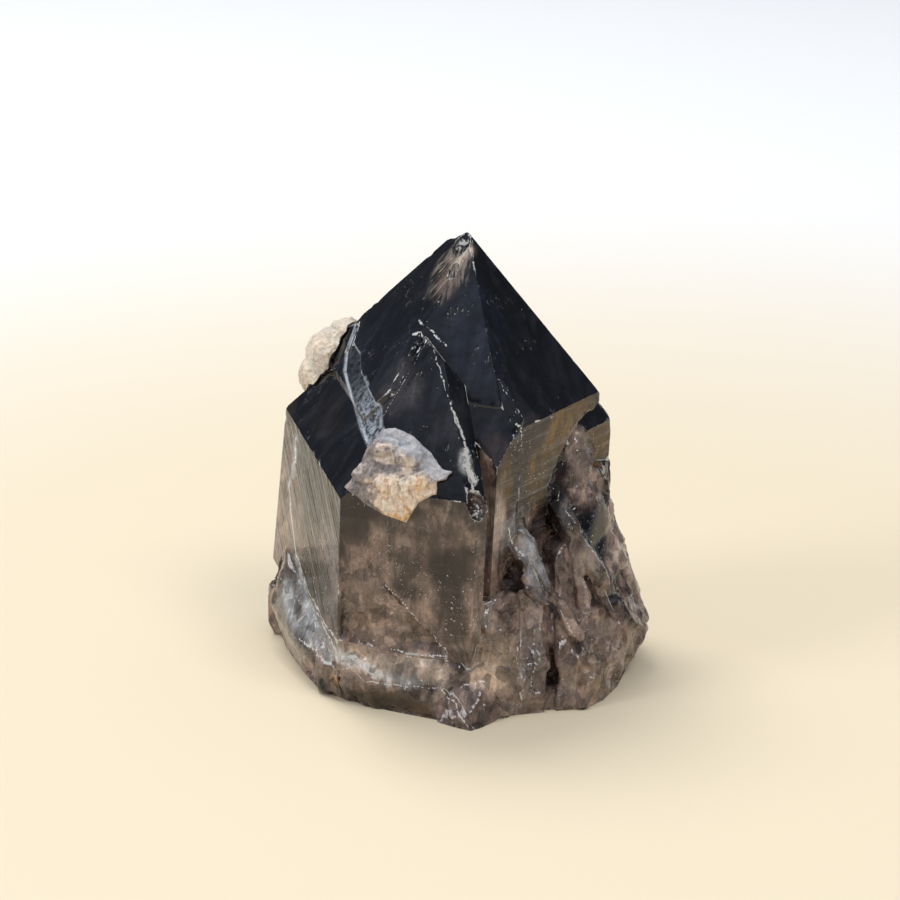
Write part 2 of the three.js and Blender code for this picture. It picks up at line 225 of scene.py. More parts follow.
def distance_to(points, samples, block=2048):
    """Distance from each point to the nearest sample, block by block."""
    nearest = np.empty(len(points))
    samples = samples.astype(np.float32)
    square = (samples**2).sum(1)
    for i in range(0, len(points), block):
        part = points[i : i + block].astype(np.float32)
        gap = (part**2).sum(1)[:, None] + square[None] - 2.0 * part @ samples.T
        nearest[i : i + block] = np.sqrt(np.maximum(gap.min(1), 0.0))
    return nearest


class DistanceGrid:
    """Distances to a set of samples, worked out once on a grid and read between its points."""

    def __init__(self, low, high, samples, step=1.0):
        self.low, self.step = low - step, step
        counts = np.ceil((high - low) / step).astype(int) + 3
        axes = [self.low[i] + step * np.arange(counts[i]) for i in range(3)]
        places = np.stack(np.meshgrid(*axes, indexing="ij"), axis=-1)
        self.values = distance_to(places.reshape(-1, 3), samples).reshape(counts)

    def __call__(self, points):
        at = (points - self.low) / self.step
        cell = np.clip(np.floor(at).astype(int), 0, np.array(self.values.shape) - 2)
        t = at - cell
        total = 0.0
        for corner in itertools.product((0, 1), repeat=3):
            weight = np.prod(np.where(corner, t, 1 - t), axis=1)
            total = total + weight * self.values[tuple((cell + corner).T)]
        return total


def refine(points, triangles, tags, target):
    """Splits edges longer than target(place, tag) at their middles until none is left. A triangle is
    always split across its longest edge first, which keeps the triangles well shaped."""
    for _ in range(40):
        edges, rows = edge_table(triangles)
        start, end = points[edges[:, 0]], points[edges[:, 1]]
        length = np.linalg.norm(end - start, axis=1)
        edge_tag = np.zeros(len(edges), tags.dtype)
        edge_tag[rows.ravel()] = np.repeat(tags, 3)
        long = length > target((start + end) / 2, edge_tag)
        ranked = length + 1e-9 * np.arange(len(edges))
        longest = rows[np.arange(len(rows)), ranked[rows].argmax(1)]
        marked = np.zeros(len(edges), bool)
        marked[longest[long[longest]]] = True
        while True:
            needed = longest[marked[rows].any(1)]
            if marked[needed].all():
                break
            marked[needed] = True
        if not marked.any():
            break
        middle = np.full(len(edges), -1)
        middle[marked] = len(points) + np.arange(marked.sum())
        points = np.concatenate((points, ((start + end) / 2)[marked]))
        first = ranked[rows].argmax(1)
        turn = (first[:, None] + np.arange(3)) % 3
        a, b, c = np.take_along_axis(triangles, turn, 1).T
        ab, bc, ca = middle[np.take_along_axis(rows, turn, 1)].T
        whole = ab < 0
        halves = (
            (np.stack((a, ab, c), 1), ~whole & (ca < 0)),
            (np.stack((ab, b, c), 1), ~whole & (bc < 0)),
            (np.stack((a, ab, ca), 1), ~whole & (ca >= 0)),
            (np.stack((ca, ab, c), 1), ~whole & (ca >= 0)),
            (np.stack((ab, b, bc), 1), ~whole & (bc >= 0)),
            (np.stack((ab, bc, c), 1), ~whole & (bc >= 0)),
        )
        tags = np.concatenate([tags[whole]] + [tags[used] for _, used in halves])
        triangles = np.concatenate([triangles[whole]] + [faces[used] for faces, used in halves])
    return points, triangles, tags


def soften(points, triangles, weight, rounds):
    """Rounds a surface off: in each round, every point moves by its weight to the mean of the points that
    share an edge with it."""
    edges, _ = edge_table(triangles)
    ends = np.concatenate((edges, edges[:, ::-1]))
    count = np.maximum(np.bincount(ends[:, 0], minlength=len(points)), 1)
    for _ in range(rounds):
        sums = [np.bincount(ends[:, 0], points[ends[:, 1], i], len(points)) for i in range(3)]
        points = points + weight[:, None] * (np.stack(sums, axis=1) / count[:, None] - points)
    return points


def put_mesh(name, points, triangles, sharp_degrees):
    """A new object from points in mm and triangles, smooth but for edges sharper than an angle."""
    mesh = bpy.data.meshes.new(name)
    mesh.vertices.add(len(points))
    mesh.vertices.foreach_set("co", (points * MM).astype(np.float32).ravel())
    mesh.loops.add(triangles.size)
    mesh.loops.foreach_set("vertex_index", triangles.astype(np.int32).ravel())
    mesh.polygons.add(len(triangles))
    mesh.polygons.foreach_set("loop_start", (3 * np.arange(len(triangles))).astype(np.int32))
    mesh.update(calc_edges=True)
    mesh.validate()
    mesh.polygons.foreach_set("use_smooth", np.ones(len(mesh.polygons), bool))
    mesh.set_sharp_from_angle(angle=math.radians(sharp_degrees))
    piece = bpy.data.objects.new(name, mesh)
    bpy.context.scene.collection.objects.link(piece)
    return piece


def put_attribute(piece, name, values, domain="POINT"):
    """Stores one number, or one colour of three numbers, for each point or corner."""
    if values.ndim == 1:
        layer = piece.data.attributes.new(name, "FLOAT", domain)
        layer.data.foreach_set("value", values.astype(np.float32))
    else:
        layer = piece.data.attributes.new(name, "FLOAT_COLOR", domain)
        four = np.concatenate((values, np.ones((len(values), 1))), axis=1)
        layer.data.foreach_set("color", four.astype(np.float32).ravel())


# Materials


class Nodes:
    """A short way to add shader nodes to a tree and join them."""

    def __init__(self, tree):
        self.tree = tree

    def add(self, kind, settings=None, **inputs):
        item = self.tree.nodes.new(kind)
        for key, value in (settings or {}).items():
            setattr(item, key, value)
        for key, value in inputs.items():
            self.feed(item.inputs[key.replace("_", " ")], value)
        return item

    def feed(self, socket, value):
        if isinstance(value, bpy.types.NodeSocket):
            self.tree.links.new(value, socket)
        else:
            socket.default_value = value

    def math(self, operation, *values):
        item = self.tree.nodes.new("ShaderNodeMath")
        item.operation = operation
        for socket, value in zip(item.inputs, values):
            self.feed(socket, value)
        return item.outputs[0]

    def times(self, first, second):
        return self.math("MULTIPLY", first, second)

    def plus(self, first, second):
        return self.math("ADD", first, second)

    def minus(self, first, second):
        return self.math("SUBTRACT", first, second)

    def range(self, value, low, high, to_low=0.0, to_high=1.0):
        item = self.add("ShaderNodeMapRange", {"interpolation_type": "SMOOTHSTEP"}, Value=value)
        for key, number in zip(("From Min", "From Max", "To Min", "To Max"), (low, high, to_low, to_high)):
            self.feed(item.inputs[key], number)
        return item.outputs[0]

    def mix(self, amount, first, second, blend="MIX"):
        item = self.tree.nodes.new("ShaderNodeMix")
        item.data_type = "RGBA"
        item.blend_type = blend
        for socket, value in ((item.inputs[0], amount), (item.inputs[6], first), (item.inputs[7], second)):
            if not isinstance(value, (float, int, bpy.types.NodeSocket)) and len(value) == 3:
                value = (*value, 1.0)
            self.feed(socket, value)
        return item.outputs[2]

    def attribute(self, name, output="Fac"):
        return self.add("ShaderNodeAttribute", {"attribute_name": name}).outputs[output]

    def noise(self, vector, scale, detail=4.0, roughness=0.55, distortion=0.0):
        item = self.add(
            "ShaderNodeTexNoise",
            Vector=vector,
            Scale=scale,
            Detail=detail,
            Roughness=roughness,
            Distortion=distortion,
        )
        return item.outputs[0]

    def stretched(self, vector, scale, turn=(0.0, 0.0, 0.0)):
        item = self.add("ShaderNodeMapping", Vector=vector)
        item.inputs["Scale"].default_value = scale
        item.inputs["Rotation"].default_value = turn
        return item.outputs[0]

    def grey(self, value):
        return self.add("ShaderNodeCombineColor", Red=value, Green=value, Blue=value).outputs[0]


def new_group(name, inputs, outputs):
    """An empty node group with named float, vector and colour sockets."""
    group = bpy.data.node_groups.new(name, "ShaderNodeTree")
    for label, kind, default in inputs:
        socket = group.interface.new_socket(label, in_out="INPUT", socket_type=f"NodeSocket{kind}")
        if default is not None:
            socket.default_value = default
    for label, kind in outputs:
        group.interface.new_socket(label, in_out="OUTPUT", socket_type=f"NodeSocket{kind}")
    nodes = Nodes(group)
    return group, nodes, group.nodes.new("NodeGroupInput"), group.nodes.new("NodeGroupOutput")


def mineral_mottle_group():
    """Cloudy patches and fine grain, used by the quartz and by both pieces of feldspar."""
    group, nodes, given, wanted = new_group(
        "MineralMottle",
        (("Vector", "Vector", None), ("Patch Size", "Float", 4.0), ("Grain Size", "Float", 0.5)),
        (("Patches", "Float"), ("Grain", "Float")),
    )
    patch_scale = nodes.math("DIVIDE", 1000.0, given.outputs["Patch Size"])
    grain_scale = nodes.math("DIVIDE", 1000.0, given.outputs["Grain Size"])
    patches = nodes.noise(given.outputs["Vector"], patch_scale, 3.0, 0.5, 0.5)
    grain = nodes.noise(given.outputs["Vector"], grain_scale, 3.0, 0.6)
    group.links.new(patches, wanted.inputs["Patches"])
    group.links.new(grain, wanted.inputs["Grain"])
    return group


def edge_chip_group():
    """A broken white crumble where Nearness, which is 1 on a line and 0 at its edge, beats the noise."""
    group, nodes, given, wanted = new_group(
        "EdgeChips",
        (("Vector", "Vector", None), ("Nearness", "Float", 0.0)),
        (("Mask", "Float"), ("Speckle", "Float")),
    )
    speckle = nodes.noise(given.outputs["Vector"], 1800.0, 4.0, 0.78)
    group.links.new(speckle, wanted.inputs["Speckle"])
    rough = nodes.times(nodes.minus(speckle, 0.5), 2.8)
    mask = nodes.range(nodes.plus(given.outputs["Nearness"], rough), 0.10, 0.5)
    group.links.new(mask, wanted.inputs["Mask"])
    return group


def broken_facets_group():
    """Small flat facets that tilt at random and meet in sharp edges, as glassy broken stone has: the
    height is the step from each cell's middle times that cell's own random slope."""
    group, nodes, given, wanted = new_group(
        "BrokenFacets",
        (("Vector", "Vector", None), ("Size", "Float", 1.0), ("Tilt", "Float", 1.0)),
        (("Height", "Float"), ("Shade", "Float")),
    )
    scale = nodes.math("DIVIDE", 1000.0, given.outputs["Size"])
    bend = nodes.add("ShaderNodeTexNoise", Vector=given.outputs["Vector"], Scale=scale, Detail=1.0)
    bend = nodes.add("ShaderNodeVectorMath", {"operation": "SUBTRACT"}, Vector=bend.outputs["Color"])
    bend.inputs[1].default_value = (0.5, 0.5, 0.5)
    push = nodes.add("ShaderNodeVectorMath", {"operation": "SCALE"}, Vector=bend.outputs[0])
    nodes.feed(push.inputs["Scale"], nodes.times(given.outputs["Size"], 0.6 * MM))
    place = nodes.add("ShaderNodeVectorMath", {"operation": "ADD"})
    nodes.feed(place.inputs[0], given.outputs["Vector"])
    nodes.feed(place.inputs[1], push.outputs[0])
    cells = nodes.add("ShaderNodeTexVoronoi", {"feature": "F1"}, Vector=place.outputs[0], Scale=scale)
    step = nodes.add("ShaderNodeVectorMath", {"operation": "SUBTRACT"})
    nodes.feed(step.inputs[0], place.outputs[0])
    nodes.feed(step.inputs[1], cells.outputs["Position"])
    lean = nodes.add("ShaderNodeVectorMath", {"operation": "SUBTRACT"})
    nodes.feed(lean.inputs[0], cells.outputs["Color"])
    lean.inputs[1].default_value = (0.5, 0.5, 0.5)
    height = nodes.add("ShaderNodeVectorMath", {"operation": "DOT_PRODUCT"})
    nodes.feed(height.inputs[0], step.outputs[0])
    nodes.feed(height.inputs[1], lean.outputs[0])
    height = nodes.times(height.outputs["Value"], given.outputs["Tilt"])
    group.links.new(height, wanted.inputs["Height"])
    # Shade: the cell's own random number, which the quartz uses to paint facet shading.
    shade = nodes.add("ShaderNodeSeparateColor", Color=cells.outputs["Color"])
    group.links.new(shade.outputs[0], wanted.inputs["Shade"])
    return group


def use_group(nodes, group, **inputs):
    """A node that uses a group, with its inputs fed by name."""
    return nodes.add("ShaderNodeGroup", {"node_tree": group}, **inputs).outputs


def new_material(name):
    """A material with only its output and Principled BSDF, joined."""
    material = bpy.data.materials.new(name)
    material.use_nodes = True
    shader = material.node_tree.nodes["Principled BSDF"]
    return material, Nodes(material.node_tree), shader


# The quartz


# A triangle's kind: BROKEN, the row of its slope, or WALL and the row of its wall.
BROKEN, WALL = -1, 10
# The cosine of the angle, 1.6 degrees, within which a CAD triangle belongs to a crystal face.
FACE_FIT = 0.9996
# Triangle edges in mm: near crystal edges, near white lines, on open faces, on broken stone, on the side
# away from the camera, which starts at a y, and under the stone. Finest sizes hold within a reach of each.
EDGE_SIZE, EDGE_REACH = 0.5, 0.5
LINE_SIZE, LINE_REACH = 0.36, 0.7
OPEN_SIZE, BROKEN_SIZE, BACK_SIZE, FLOOR_SIZE = 1.8, 0.72, 1.1, 2.5
BACK_FROM = 4.0
FLOOR_LEVEL = 0.02
# How far a worked point may lie outside the CAD box.
BOX_SLACK = 0.4


def crystal_kinds(points, triangles):
    """The kind of each CAD triangle, from the crystal face that its normal fits."""
    normals, _ = triangle_normals(points, triangles)
    kinds = np.full(len(triangles), BROKEN)
    for offset, frames in ((0, SLOPE_FRAMES), (WALL, WALL_FRAMES)):
        for row, axes in enumerate(frames):
            kinds[normals @ axes[2] > FACE_FIT] = offset + row
    return kinds


# The scar's outline across and up the left slope, and how far out the slopes that it crosses lie, in mm.
SCAR_OUTLINE = (
    (-20.9, 32.6), (-17.8, 28.7), (-14.5, 26.7), (-7.1, 25.1), (-0.7, 23.8), (5.0, 23.1), (6.2, 24.2),
    (5.7, 26.1), (0.8, 28.2), (-4.5, 28.5), (-10.3, 29.2), (-14.0, 30.7), (-17.3, 30.7), (-19.6, 32.9),
)
SCAR_LEVELS = (40.5, 39.8)


def scar_line():
    """Points along the outline of the scar on the left slopes of the main and the front crystal."""
    outline = np.array(SCAR_OUTLINE)
    ends = np.roll(outline, -1, axis=0)
    t = np.linspace(0, 1, 30, endpoint=False)[None, :, None]
    flat = (outline[:, None] * (1 - t) + ends[:, None] * t).reshape(-1, 2)
    across, up, out = SLOPE_FRAMES[FRONT_LEFT]
    rows = [flat[:, :1] * across + flat[:, 1:] * up + level * out for level in SCAR_LEVELS]
    return np.concatenate(rows) + CENTRING


def inside_scar(points):
    """1 inside the scar's outline and 0 outside, by counting the outline's crossings of a ray."""
    across, up, out = SLOPE_FRAMES[FRONT_LEFT]
    local = points - CENTRING
    x, y, z = local @ across, local @ up, local @ out
    inside = np.zeros(len(points), bool)
    outline = np.array(SCAR_OUTLINE)
    for (x0, y0), (x1, y1) in zip(outline, np.roll(outline, -1, axis=0)):
        crosses = (y0 > y) != (y1 > y)
        inside ^= crosses & (x < x0 + (y - y0) * (x1 - x0) / (y1 - y0 + 1e-12))
    level = np.min([np.abs(z - level) for level in SCAR_LEVELS], axis=0) < 0.2
    return (inside & level).astype(float)


# White lines on the quartz: chipped ridges, healed cracks and rims. Each has a half width and its corners.
WHITE_LINES = (
    (0.16, ((-3.7, -11.8, 55.5), (-2.0, -14.8, 50.8), (-0.2, -17.7, 46.1))),
    (0.25, ((-0.2, -17.7, 46.1), (0.6, -18.8, 44.0), (1.2, -19.8, 41.8))),
    (0.80, ((1.2, -19.8, 41.8), (1.7, -21.2, 39.5), (2.2, -22.0, 37.8))),
    (0.06, ((-4.6, -9.7, 55.6), (-8.5, -12.6, 49.4), (-12.6, -15.4, 42.2), (-15.7, -21.8, 37.3))),
    (0.20, ((-5.7, -6.0, 57.7), (-4.4, -8.2, 57.1), (-2.9, -8.9, 56.2), (-1.7, -9.7, 55.2))),
    (0.30, ((-7.0, -7.2, 56.4), (-5.6, -8.4, 56.6), (-4.6, -9.7, 55.6))),
    (0.14, ((-26.5, 8.2, 27.4), (-26.3, 7.6, 22.3), (-25.6, 5.9, 16.8), (-23.3, -1.1, 12.9))),
    (0.34, ((-23.3, -1.1, 12.9), (-20.8, -8.6, 11.3), (-18.3, -15.9, 10.6))),
    (0.28, ((-22.9, -6.0, 11.0), (-19.9, -13.0, 9.4), (-17.0, -16.4, 8.6), (-13.8, -17.5, 6.7))),
    (0.30, ((-25.0, 3.2, 36.5), (-25.3, 4.3, 31.7))),
    (0.08, ((5.4, -12.4, 52.4), (7.0, -14.2, 49.3), (9.6, -16.6, 45.9))),
    (0.22, ((8.7, -16.9, 45.2), (9.3, -16.7, 43.6), (9.2, -16.3, 41.3))),
    (0.14, ((-16.7, -16.8, 6.4), (-14.4, -17.6, 5.1), (-10.9, -18.7, 4.6), (-6.4, -19.8, 4.6))),
    (0.10, ((-6.4, -19.8, 4.6), (-1.9, -20.6, 4.8), (1.2, -22.6, 3.0))),
    (0.45, ((-15.9, -16.7, 8.5), (-13.8, -17.5, 6.7), (-12.6, -18.1, 5.7))),
    (0.15, ((-9.8, -17.7, 9.7), (-6.4, -18.6, 9.3), (-2.0, -19.2, 9.6), (-1.7, -19.9, 11.0))),
    (0.11, ((-13.4, -18.8, 23.4), (-9.3, -19.5, 19.4), (-5.6, -19.7, 15.1), (-2.0, -19.8, 11.1))),
    (0.15, ((-15.3, 7.0, 53.6), (-16.2, 5.2, 50.9))),
    (0.20, ((7.5, -15.6, 28.5), (9.7, -14.7, 24.3), (12.1, -15.4, 20.1), (14.3, -14.1, 15.7))),
    (0.14, ((17.6, -8.3, 26.5), (20.2, -9.1, 22.9), (22.8, -9.4, 18.1), (24.6, -9.4, 10.6))),
    (0.20, ((9.4, -17.8, 15.9), (9.1, -18.6, 10.1), (9.7, -20.4, 2.7))),
    (0.14, ((11.6, -18.6, 14.0), (11.4, -19.2, 9.0), (11.6, -20.0, 3.5))),
    (0.30, ((-24.4, -5.8, 6.5), (-21.3, -11.3, 6.2), (-18.7, -15.8, 6.0), (-16.7, -16.8, 6.4))),
    (0.22, ((-2.6, -20.5, 4.5), (-0.4, -22.6, 2.9), (1.6, -25.3, 0.4))),
    (0.14, ((15.2, -16.0, 15.8), (16.9, -16.2, 12.6), (18.0, -15.6, 10.8), (16.2, -15.9, 11.5))),
    (0.26, ((3.0, -23.0, 38.6), (2.4, -23.0, 36.4), (3.4, -22.6, 34.0), (2.2, -22.6, 33.2))),
)
# Broad bluish veins: half width and corners.
VEINS = (
    (0.9, ((-26.5, 8.2, 27.4), (-26.3, 7.6, 22.3), (-25.6, 5.9, 16.8))),
    (
        1.5,
        (
            (-25.6, 5.9, 16.8),
            (-24.8, 2.0, 13.0),
            (-23.4, -3.0, 10.0),
            (-20.8, -8.6, 9.0),
            (-18.0, -15.9, 8.6),
        ),
    ),
    (1.3, ((-27.4, 5.0, 12.0), (-25.6, 0.5, 8.5), (-22.4, -6.0, 6.8), (-19.0, -13.0, 6.6))),
    (1.0, ((-25.0, 3.2, 36.5), (-25.3, 4.3, 31.7), (-26.5, 8.2, 27.4))),
    (1.3, ((-19.0, -14.0, 8.6), (-15.0, -17.2, 7.6), (-10.9, -18.7, 5.6), (-6.4, -19.8, 5.2))),
)


def line_points(corners, step=0.3):
    """Points every step along a wandering line through corners."""
    corners = np.array(corners) + CENTRING
    rows = []
    for start, end in zip(corners, corners[1:]):
        count = max(2, int(np.linalg.norm(end - start) / step) + 1)
        t = np.linspace(0, 1, count)[:, None]
        rows.append(start * (1 - t) + end * t)
    line = np.concatenate(rows)
    return line + 0.55 * np.stack([layered_noise(line, 2.2, 3, seed) for seed in (61, 62, 63)], axis=1)


def line_distance(points, corners, reach):
    """Distance to a line that is first moved onto the nearest points of the surface. Points further from
    its box than a reach get that reach."""
    samples = line_points(corners)
    result = np.full(len(points), float(reach))
    near = ((points > samples.min(0) - reach - 3) & (points < samples.max(0) + reach + 3)).all(1)
    close = points[near]
    gaps = np.linalg.norm(samples[:, None] - close[None], axis=2)
    result[near] = np.minimum(reach, distance_to(close, close[gaps.argmin(1)]))
    return result


def line_nearness(points):
    """Distance to the nearest white line in half widths, at most 6."""
    nearest = np.full(len(points), 6.0)
    for half_width, corners in WHITE_LINES:
        nearest = np.minimum(nearest, line_distance(points, corners, 6.0 * half_width) / half_width)
    return nearest


def white_nearness(points, to_edge):
    """1 on a white line or a chipped edge and less away from it, with widths that come and go."""
    patch = layered_noise(points, 3.0, 3, 71)
    edge = 1.0 - to_edge / (0.01 + 0.20 * ramp(patch, 0.22, 0.6))
    line = 1.0 - line_nearness(points) / (0.35 + 0.9 * ramp(patch, -0.35, 0.3))
    return np.maximum(np.maximum(edge, line), -5.0)


def soft_spot(points, middle, half, seed=0, ragged=0.4):
    """1 at the middle of an ellipsoid and 0 outside it, with a ragged edge."""
    reach = np.linalg.norm((points - CENTRING - middle) / half, axis=1)
    near = reach < 1.05 + ragged
    amount = np.zeros(len(points))
    edge = reach[near] + ragged * layered_noise(points[near], 2.5, 5, seed)
    amount[near] = 1.0 - ramp(edge, 0.55, 1.05)
    return amount


# Colours of the quartz, linear: where the smoke is deep, clear, milky or stained. The bluish sheen is a
# painted reflection for the slopes, the backlit tan is painted light shining through thin quartz, and the
# underside brown holds painted shade as well as the stone's brown.
BLACK_SMOKE = (0.0040, 0.0044, 0.0060)
PAINTED_BLUE_SHEEN = (0.0060, 0.0070, 0.0120)
BROWN_SMOKE = (0.032, 0.020, 0.018)
MAUVE = (0.300, 0.205, 0.168)
MILK = (0.370, 0.265, 0.205)
PALE_MILK = (0.680, 0.540, 0.440)
BACKLIT_TAN = (0.140, 0.076, 0.018)
BLUE_GREY = (0.130, 0.125, 0.130)
BLUE_FROST = (0.420, 0.430, 0.460)
WHITE_FROST = (0.880, 0.860, 0.840)
PINK = (0.390, 0.280, 0.230)
UNDERSIDE_BROWN_AND_SHADE = (0.080, 0.045, 0.022)
BLACK_STONE = (0.004, 0.004, 0.005)
GREY_WALL = (0.020, 0.021, 0.025)
OLIVE_WALL = (0.036, 0.026, 0.010)
RUST = (0.620, 0.300, 0.100)
VEIN_BLUE = (0.720, 0.730, 0.740)

# Spots off the slopes: middle, half size, colour, strength.
STONE_SPOTS = (
    ((-1.6, -22.0, 24.0), (3.6, 5.0, 9.0), BROWN_SMOKE, 0.85),
    ((-7.6, -20.0, 22.0), (1.9, 4.0, 7.0), BROWN_SMOKE, 0.6),
    ((-1.0, -21.5, 16.5), (3.2, 4.0, 7.5), BROWN_SMOKE, 0.8),
    ((-15.0, -20.0, 31.0), (3.0, 4.0, 4.5), BROWN_SMOKE, 0.85),
    ((-9.0, -19.5, 25.5), (4.0, 4.0, 4.0), BROWN_SMOKE, 0.35),
    ((-11.5, -18.0, 14.6), (6.0, 3.0, 6.5), MILK, 0.35),
    ((-14.5, -18.0, 8.0), (5.0, 4.0, 3.0), PALE_MILK, 0.5),
    ((-7.0, -18.8, 7.2), (11.0, 4.0, 2.6), PALE_MILK, 0.85),
    # Dark brown under the front of the base: the stone's brown, darkened further as painted shade under the
    # undercut.
    ((-9.5, -18.0, 1.2), (10.0, 5.0, 2.8), UNDERSIDE_BROWN_AND_SHADE, 0.95),
    ((1.4, -23.5, 3.0), (4.0, 4.0, 3.0), MAUVE, 0.8),
    ((5.5, -19.5, 8.5), (4.6, 5.0, 6.0), (0.64, 0.46, 0.32), 0.85),
    ((4.0, -19.5, 15.0), (2.6, 4.0, 4.0), PALE_MILK, 0.45),
    ((8.3, -12.4, 18.6), (3.0, 4.0, 3.4), (0.15, 0.105, 0.09), 0.8),
    ((14.2, -15.0, 8.5), (1.3, 6.0, 8.5), (0.28, 0.19, 0.15), 0.95),
    ((11.2, -18.4, 11.0), (2.6, 5.0, 8.0), (0.26, 0.21, 0.19), 0.7),
    ((12.1, -14.6, 23.0), (3.6, 4.0, 7.0), BLUE_FROST, 0.7),
    ((9.6, -13.4, 30.5), (2.6, 3.5, 5.5), BLUE_GREY, 0.85),
    ((8.0, -16.5, 27.5), (1.8, 3.0, 3.5), BLUE_FROST, 0.5),
    # The tan spots here and below are painted backlight: light from behind shining brown through thin quartz.
    ((17.5, -6.5, 44.0), (6.5, 6.0, 4.6), BACKLIT_TAN, 0.9),
    ((14.7, -8.5, 40.0), (4.5, 4.0, 4.5), BACKLIT_TAN, 0.9),
    ((12.0, -10.6, 34.4), (3.0, 3.5, 6.0), BACKLIT_TAN, 0.75),
    ((7.0, -17.7, 36.6), (1.8, 2.5, 5.5), BACKLIT_TAN, 0.9),
    ((3.9, -18.2, 37.0), (1.9, 2.6, 5.0), PINK, 0.7),
    # Painted light: a pale spot that lifts the shade in the slit between the front and the narrow crystal.
    ((5.2, -17.4, 30.0), (2.2, 3.5, 8.0), (0.60, 0.46, 0.40), 1.0),
    ((21.9, 4.1, 36.5), (4.5, 5.0, 5.5), BACKLIT_TAN, 0.9),
    ((18.6, -1.0, 36.0), (2.6, 4.0, 6.0), PINK, 0.8),
    ((20.6, -2.5, 30.4), (4.2, 4.5, 3.6), PINK, 0.9),
    ((20.9, -5.0, 22.5), (5.4, 5.4, 7.0), BLACK_STONE, 1.0),
    ((16.6, -7.0, 26.5), (1.7, 3.0, 4.0), BLUE_GREY, 0.7),
    ((18.3, -10.6, 19.5), (1.3, 2.4, 2.2), PALE_MILK, 0.9),
    ((19.8, -10.2, 20.6), (2.0, 2.2, 5.4), (0.38, 0.30, 0.25), 0.9),
    ((16.7, -15.4, 13.6), (2.6, 2.6, 4.5), MILK, 0.8),
    ((24.8, -7.0, 13.5), (3.0, 4.0, 4.0), BROWN_SMOKE, 0.7),
    ((25.4, -5.0, 6.5), (4.5, 7.0, 3.2), (0.24, 0.150, 0.085), 0.7),
    ((20.5, -15.0, 4.6), (4.0, 4.0, 4.5), (0.27, 0.165, 0.095), 0.8),
    # Painted shadow: a black spot where the left foot overhangs the floor.
    ((-22.0, -13.0, 1.8), (3.0, 4.0, 1.7), BLACK_SMOKE, 0.9),
    ((-18.6, -14.6, 3.4), (1.4, 2.0, 1.4), RUST, 0.5),
    ((-29.3, 7.6, 9.5), (1.3, 2.8, 1.6), RUST, 0.85),
    ((-25.5, 0.0, 9.0), (6.0, 14.0, 7.0), (0.19, 0.175, 0.155), 0.85),
    ((-21.5, -11.5, 7.0), (2.4, 5.0, 2.2), PALE_MILK, 0.9),
    ((2.4, -22.8, 35.0), (2.8, 2.6, 3.4), (0.11, 0.08, 0.07), 0.9),
    ((3.0, -22.6, 37.4), (1.3, 1.8, 1.7), WHITE_FROST, 0.8),
    ((-6.0, -20.8, 29.5), (8.0, 4.0, 4.0), MAUVE, 0.45),
    ((8.4, -16.8, 42.4), (2.0, 2.2, 3.6), BLACK_STONE, 0.9),
    ((-22.5, -2.0, 31.0), (4.5, 14.0, 9.0), GREY_WALL, 0.95),
    ((-22.0, -6.0, 17.0), (5.0, 14.0, 7.5), OLIVE_WALL, 0.9),
    ((-22.5, -2.0, 24.0), (3.0, 10.0, 2.6), (0.080, 0.062, 0.055), 0.7),
)
# Spots on the slopes: middle, half size, colour, strength. The first two are a bluish painted sheen, the
# reflection of light on the upper slopes.
SLOPE_SPOTS = (
    ((-10.0, -7.0, 50.0), (14.0, 14.0, 14.0), PAINTED_BLUE_SHEEN, 0.6),
    ((3.0, -10.0, 56.0), (5.0, 8.0, 12.0), (0.010, 0.012, 0.022), 0.9),
    ((-8.6, -13.0, 49.0), (4.6, 5.0, 7.5), (0.060, 0.055, 0.058), 0.8),
    ((-0.5, -18.5, 46.0), (3.5, 4.0, 6.5), (0.022, 0.022, 0.026), 0.7),
    ((-14.5, -16.5, 38.0), (4.0, 5.0, 4.0), (0.002, 0.002, 0.003), 0.9),
    ((1.3, -20.8, 40.6), (1.3, 1.8, 3.2), WHITE_FROST, 0.4),
    ((0.2, -1.6, 67.4), (3.2, 3.6, 3.4), PALE_MILK, 0.75),
    ((-1.4, -3.6, 63.6), (2.6, 3.6, 3.6), MAUVE, 0.6),
    ((5.6, -18.6, 41.4), (3.0, 3.0, 2.8), (0.040, 0.024, 0.020), 0.9),
    ((10.7, -13.9, 44.1), (3.4, 3.4, 2.6), (0.026, 0.020, 0.018), 0.8),
    ((22.5, 3.0, 45.4), (4.0, 4.5, 2.6), (0.034, 0.022, 0.012), 0.9),
    ((-19.6, -3.0, 41.6), (5.0, 7.0, 4.0), (0.016, 0.012, 0.011), 0.8),
    ((-27.0, 6.0, 41.0), (2.0, 4.0, 2.5), (0.080, 0.050, 0.034), 0.7),
)
# Places where broken stone is smooth: middle, half size, and how much of its relief it loses.
CALM_SPOTS = (
    ((-26.0, 0.0, 8.0), (6.0, 16.0, 11.0), 0.9),
    ((-9.0, -19.0, 13.0), (9.0, 4.0, 8.0), 0.6),
    ((-7.0, -19.0, 5.0), (13.0, 5.0, 4.0), 0.35),
    ((21.6, -3.8, 22.5), (6.5, 6.5, 8.0), 0.95),
    ((20.2, -9.4, 21.5), (3.5, 3.5, 7.5), 0.6),
    ((17.0, -15.0, 13.6), (3.5, 3.5, 4.5), 0.6),
    ((-4.0, -20.0, 3.5), (19.0, 7.0, 4.5), 0.4),
)


def paint(points, colour, spots, seed):
    """The colours with soft spots of other colours laid over them one by one."""
    for i, (middle, half, spot, strength) in enumerate(spots):
        amount = strength * soft_spot(points, np.array(middle), np.array(half), seed + i)[:, None]
        colour = colour * (1 - amount) + np.array(spot) * amount
    return colour


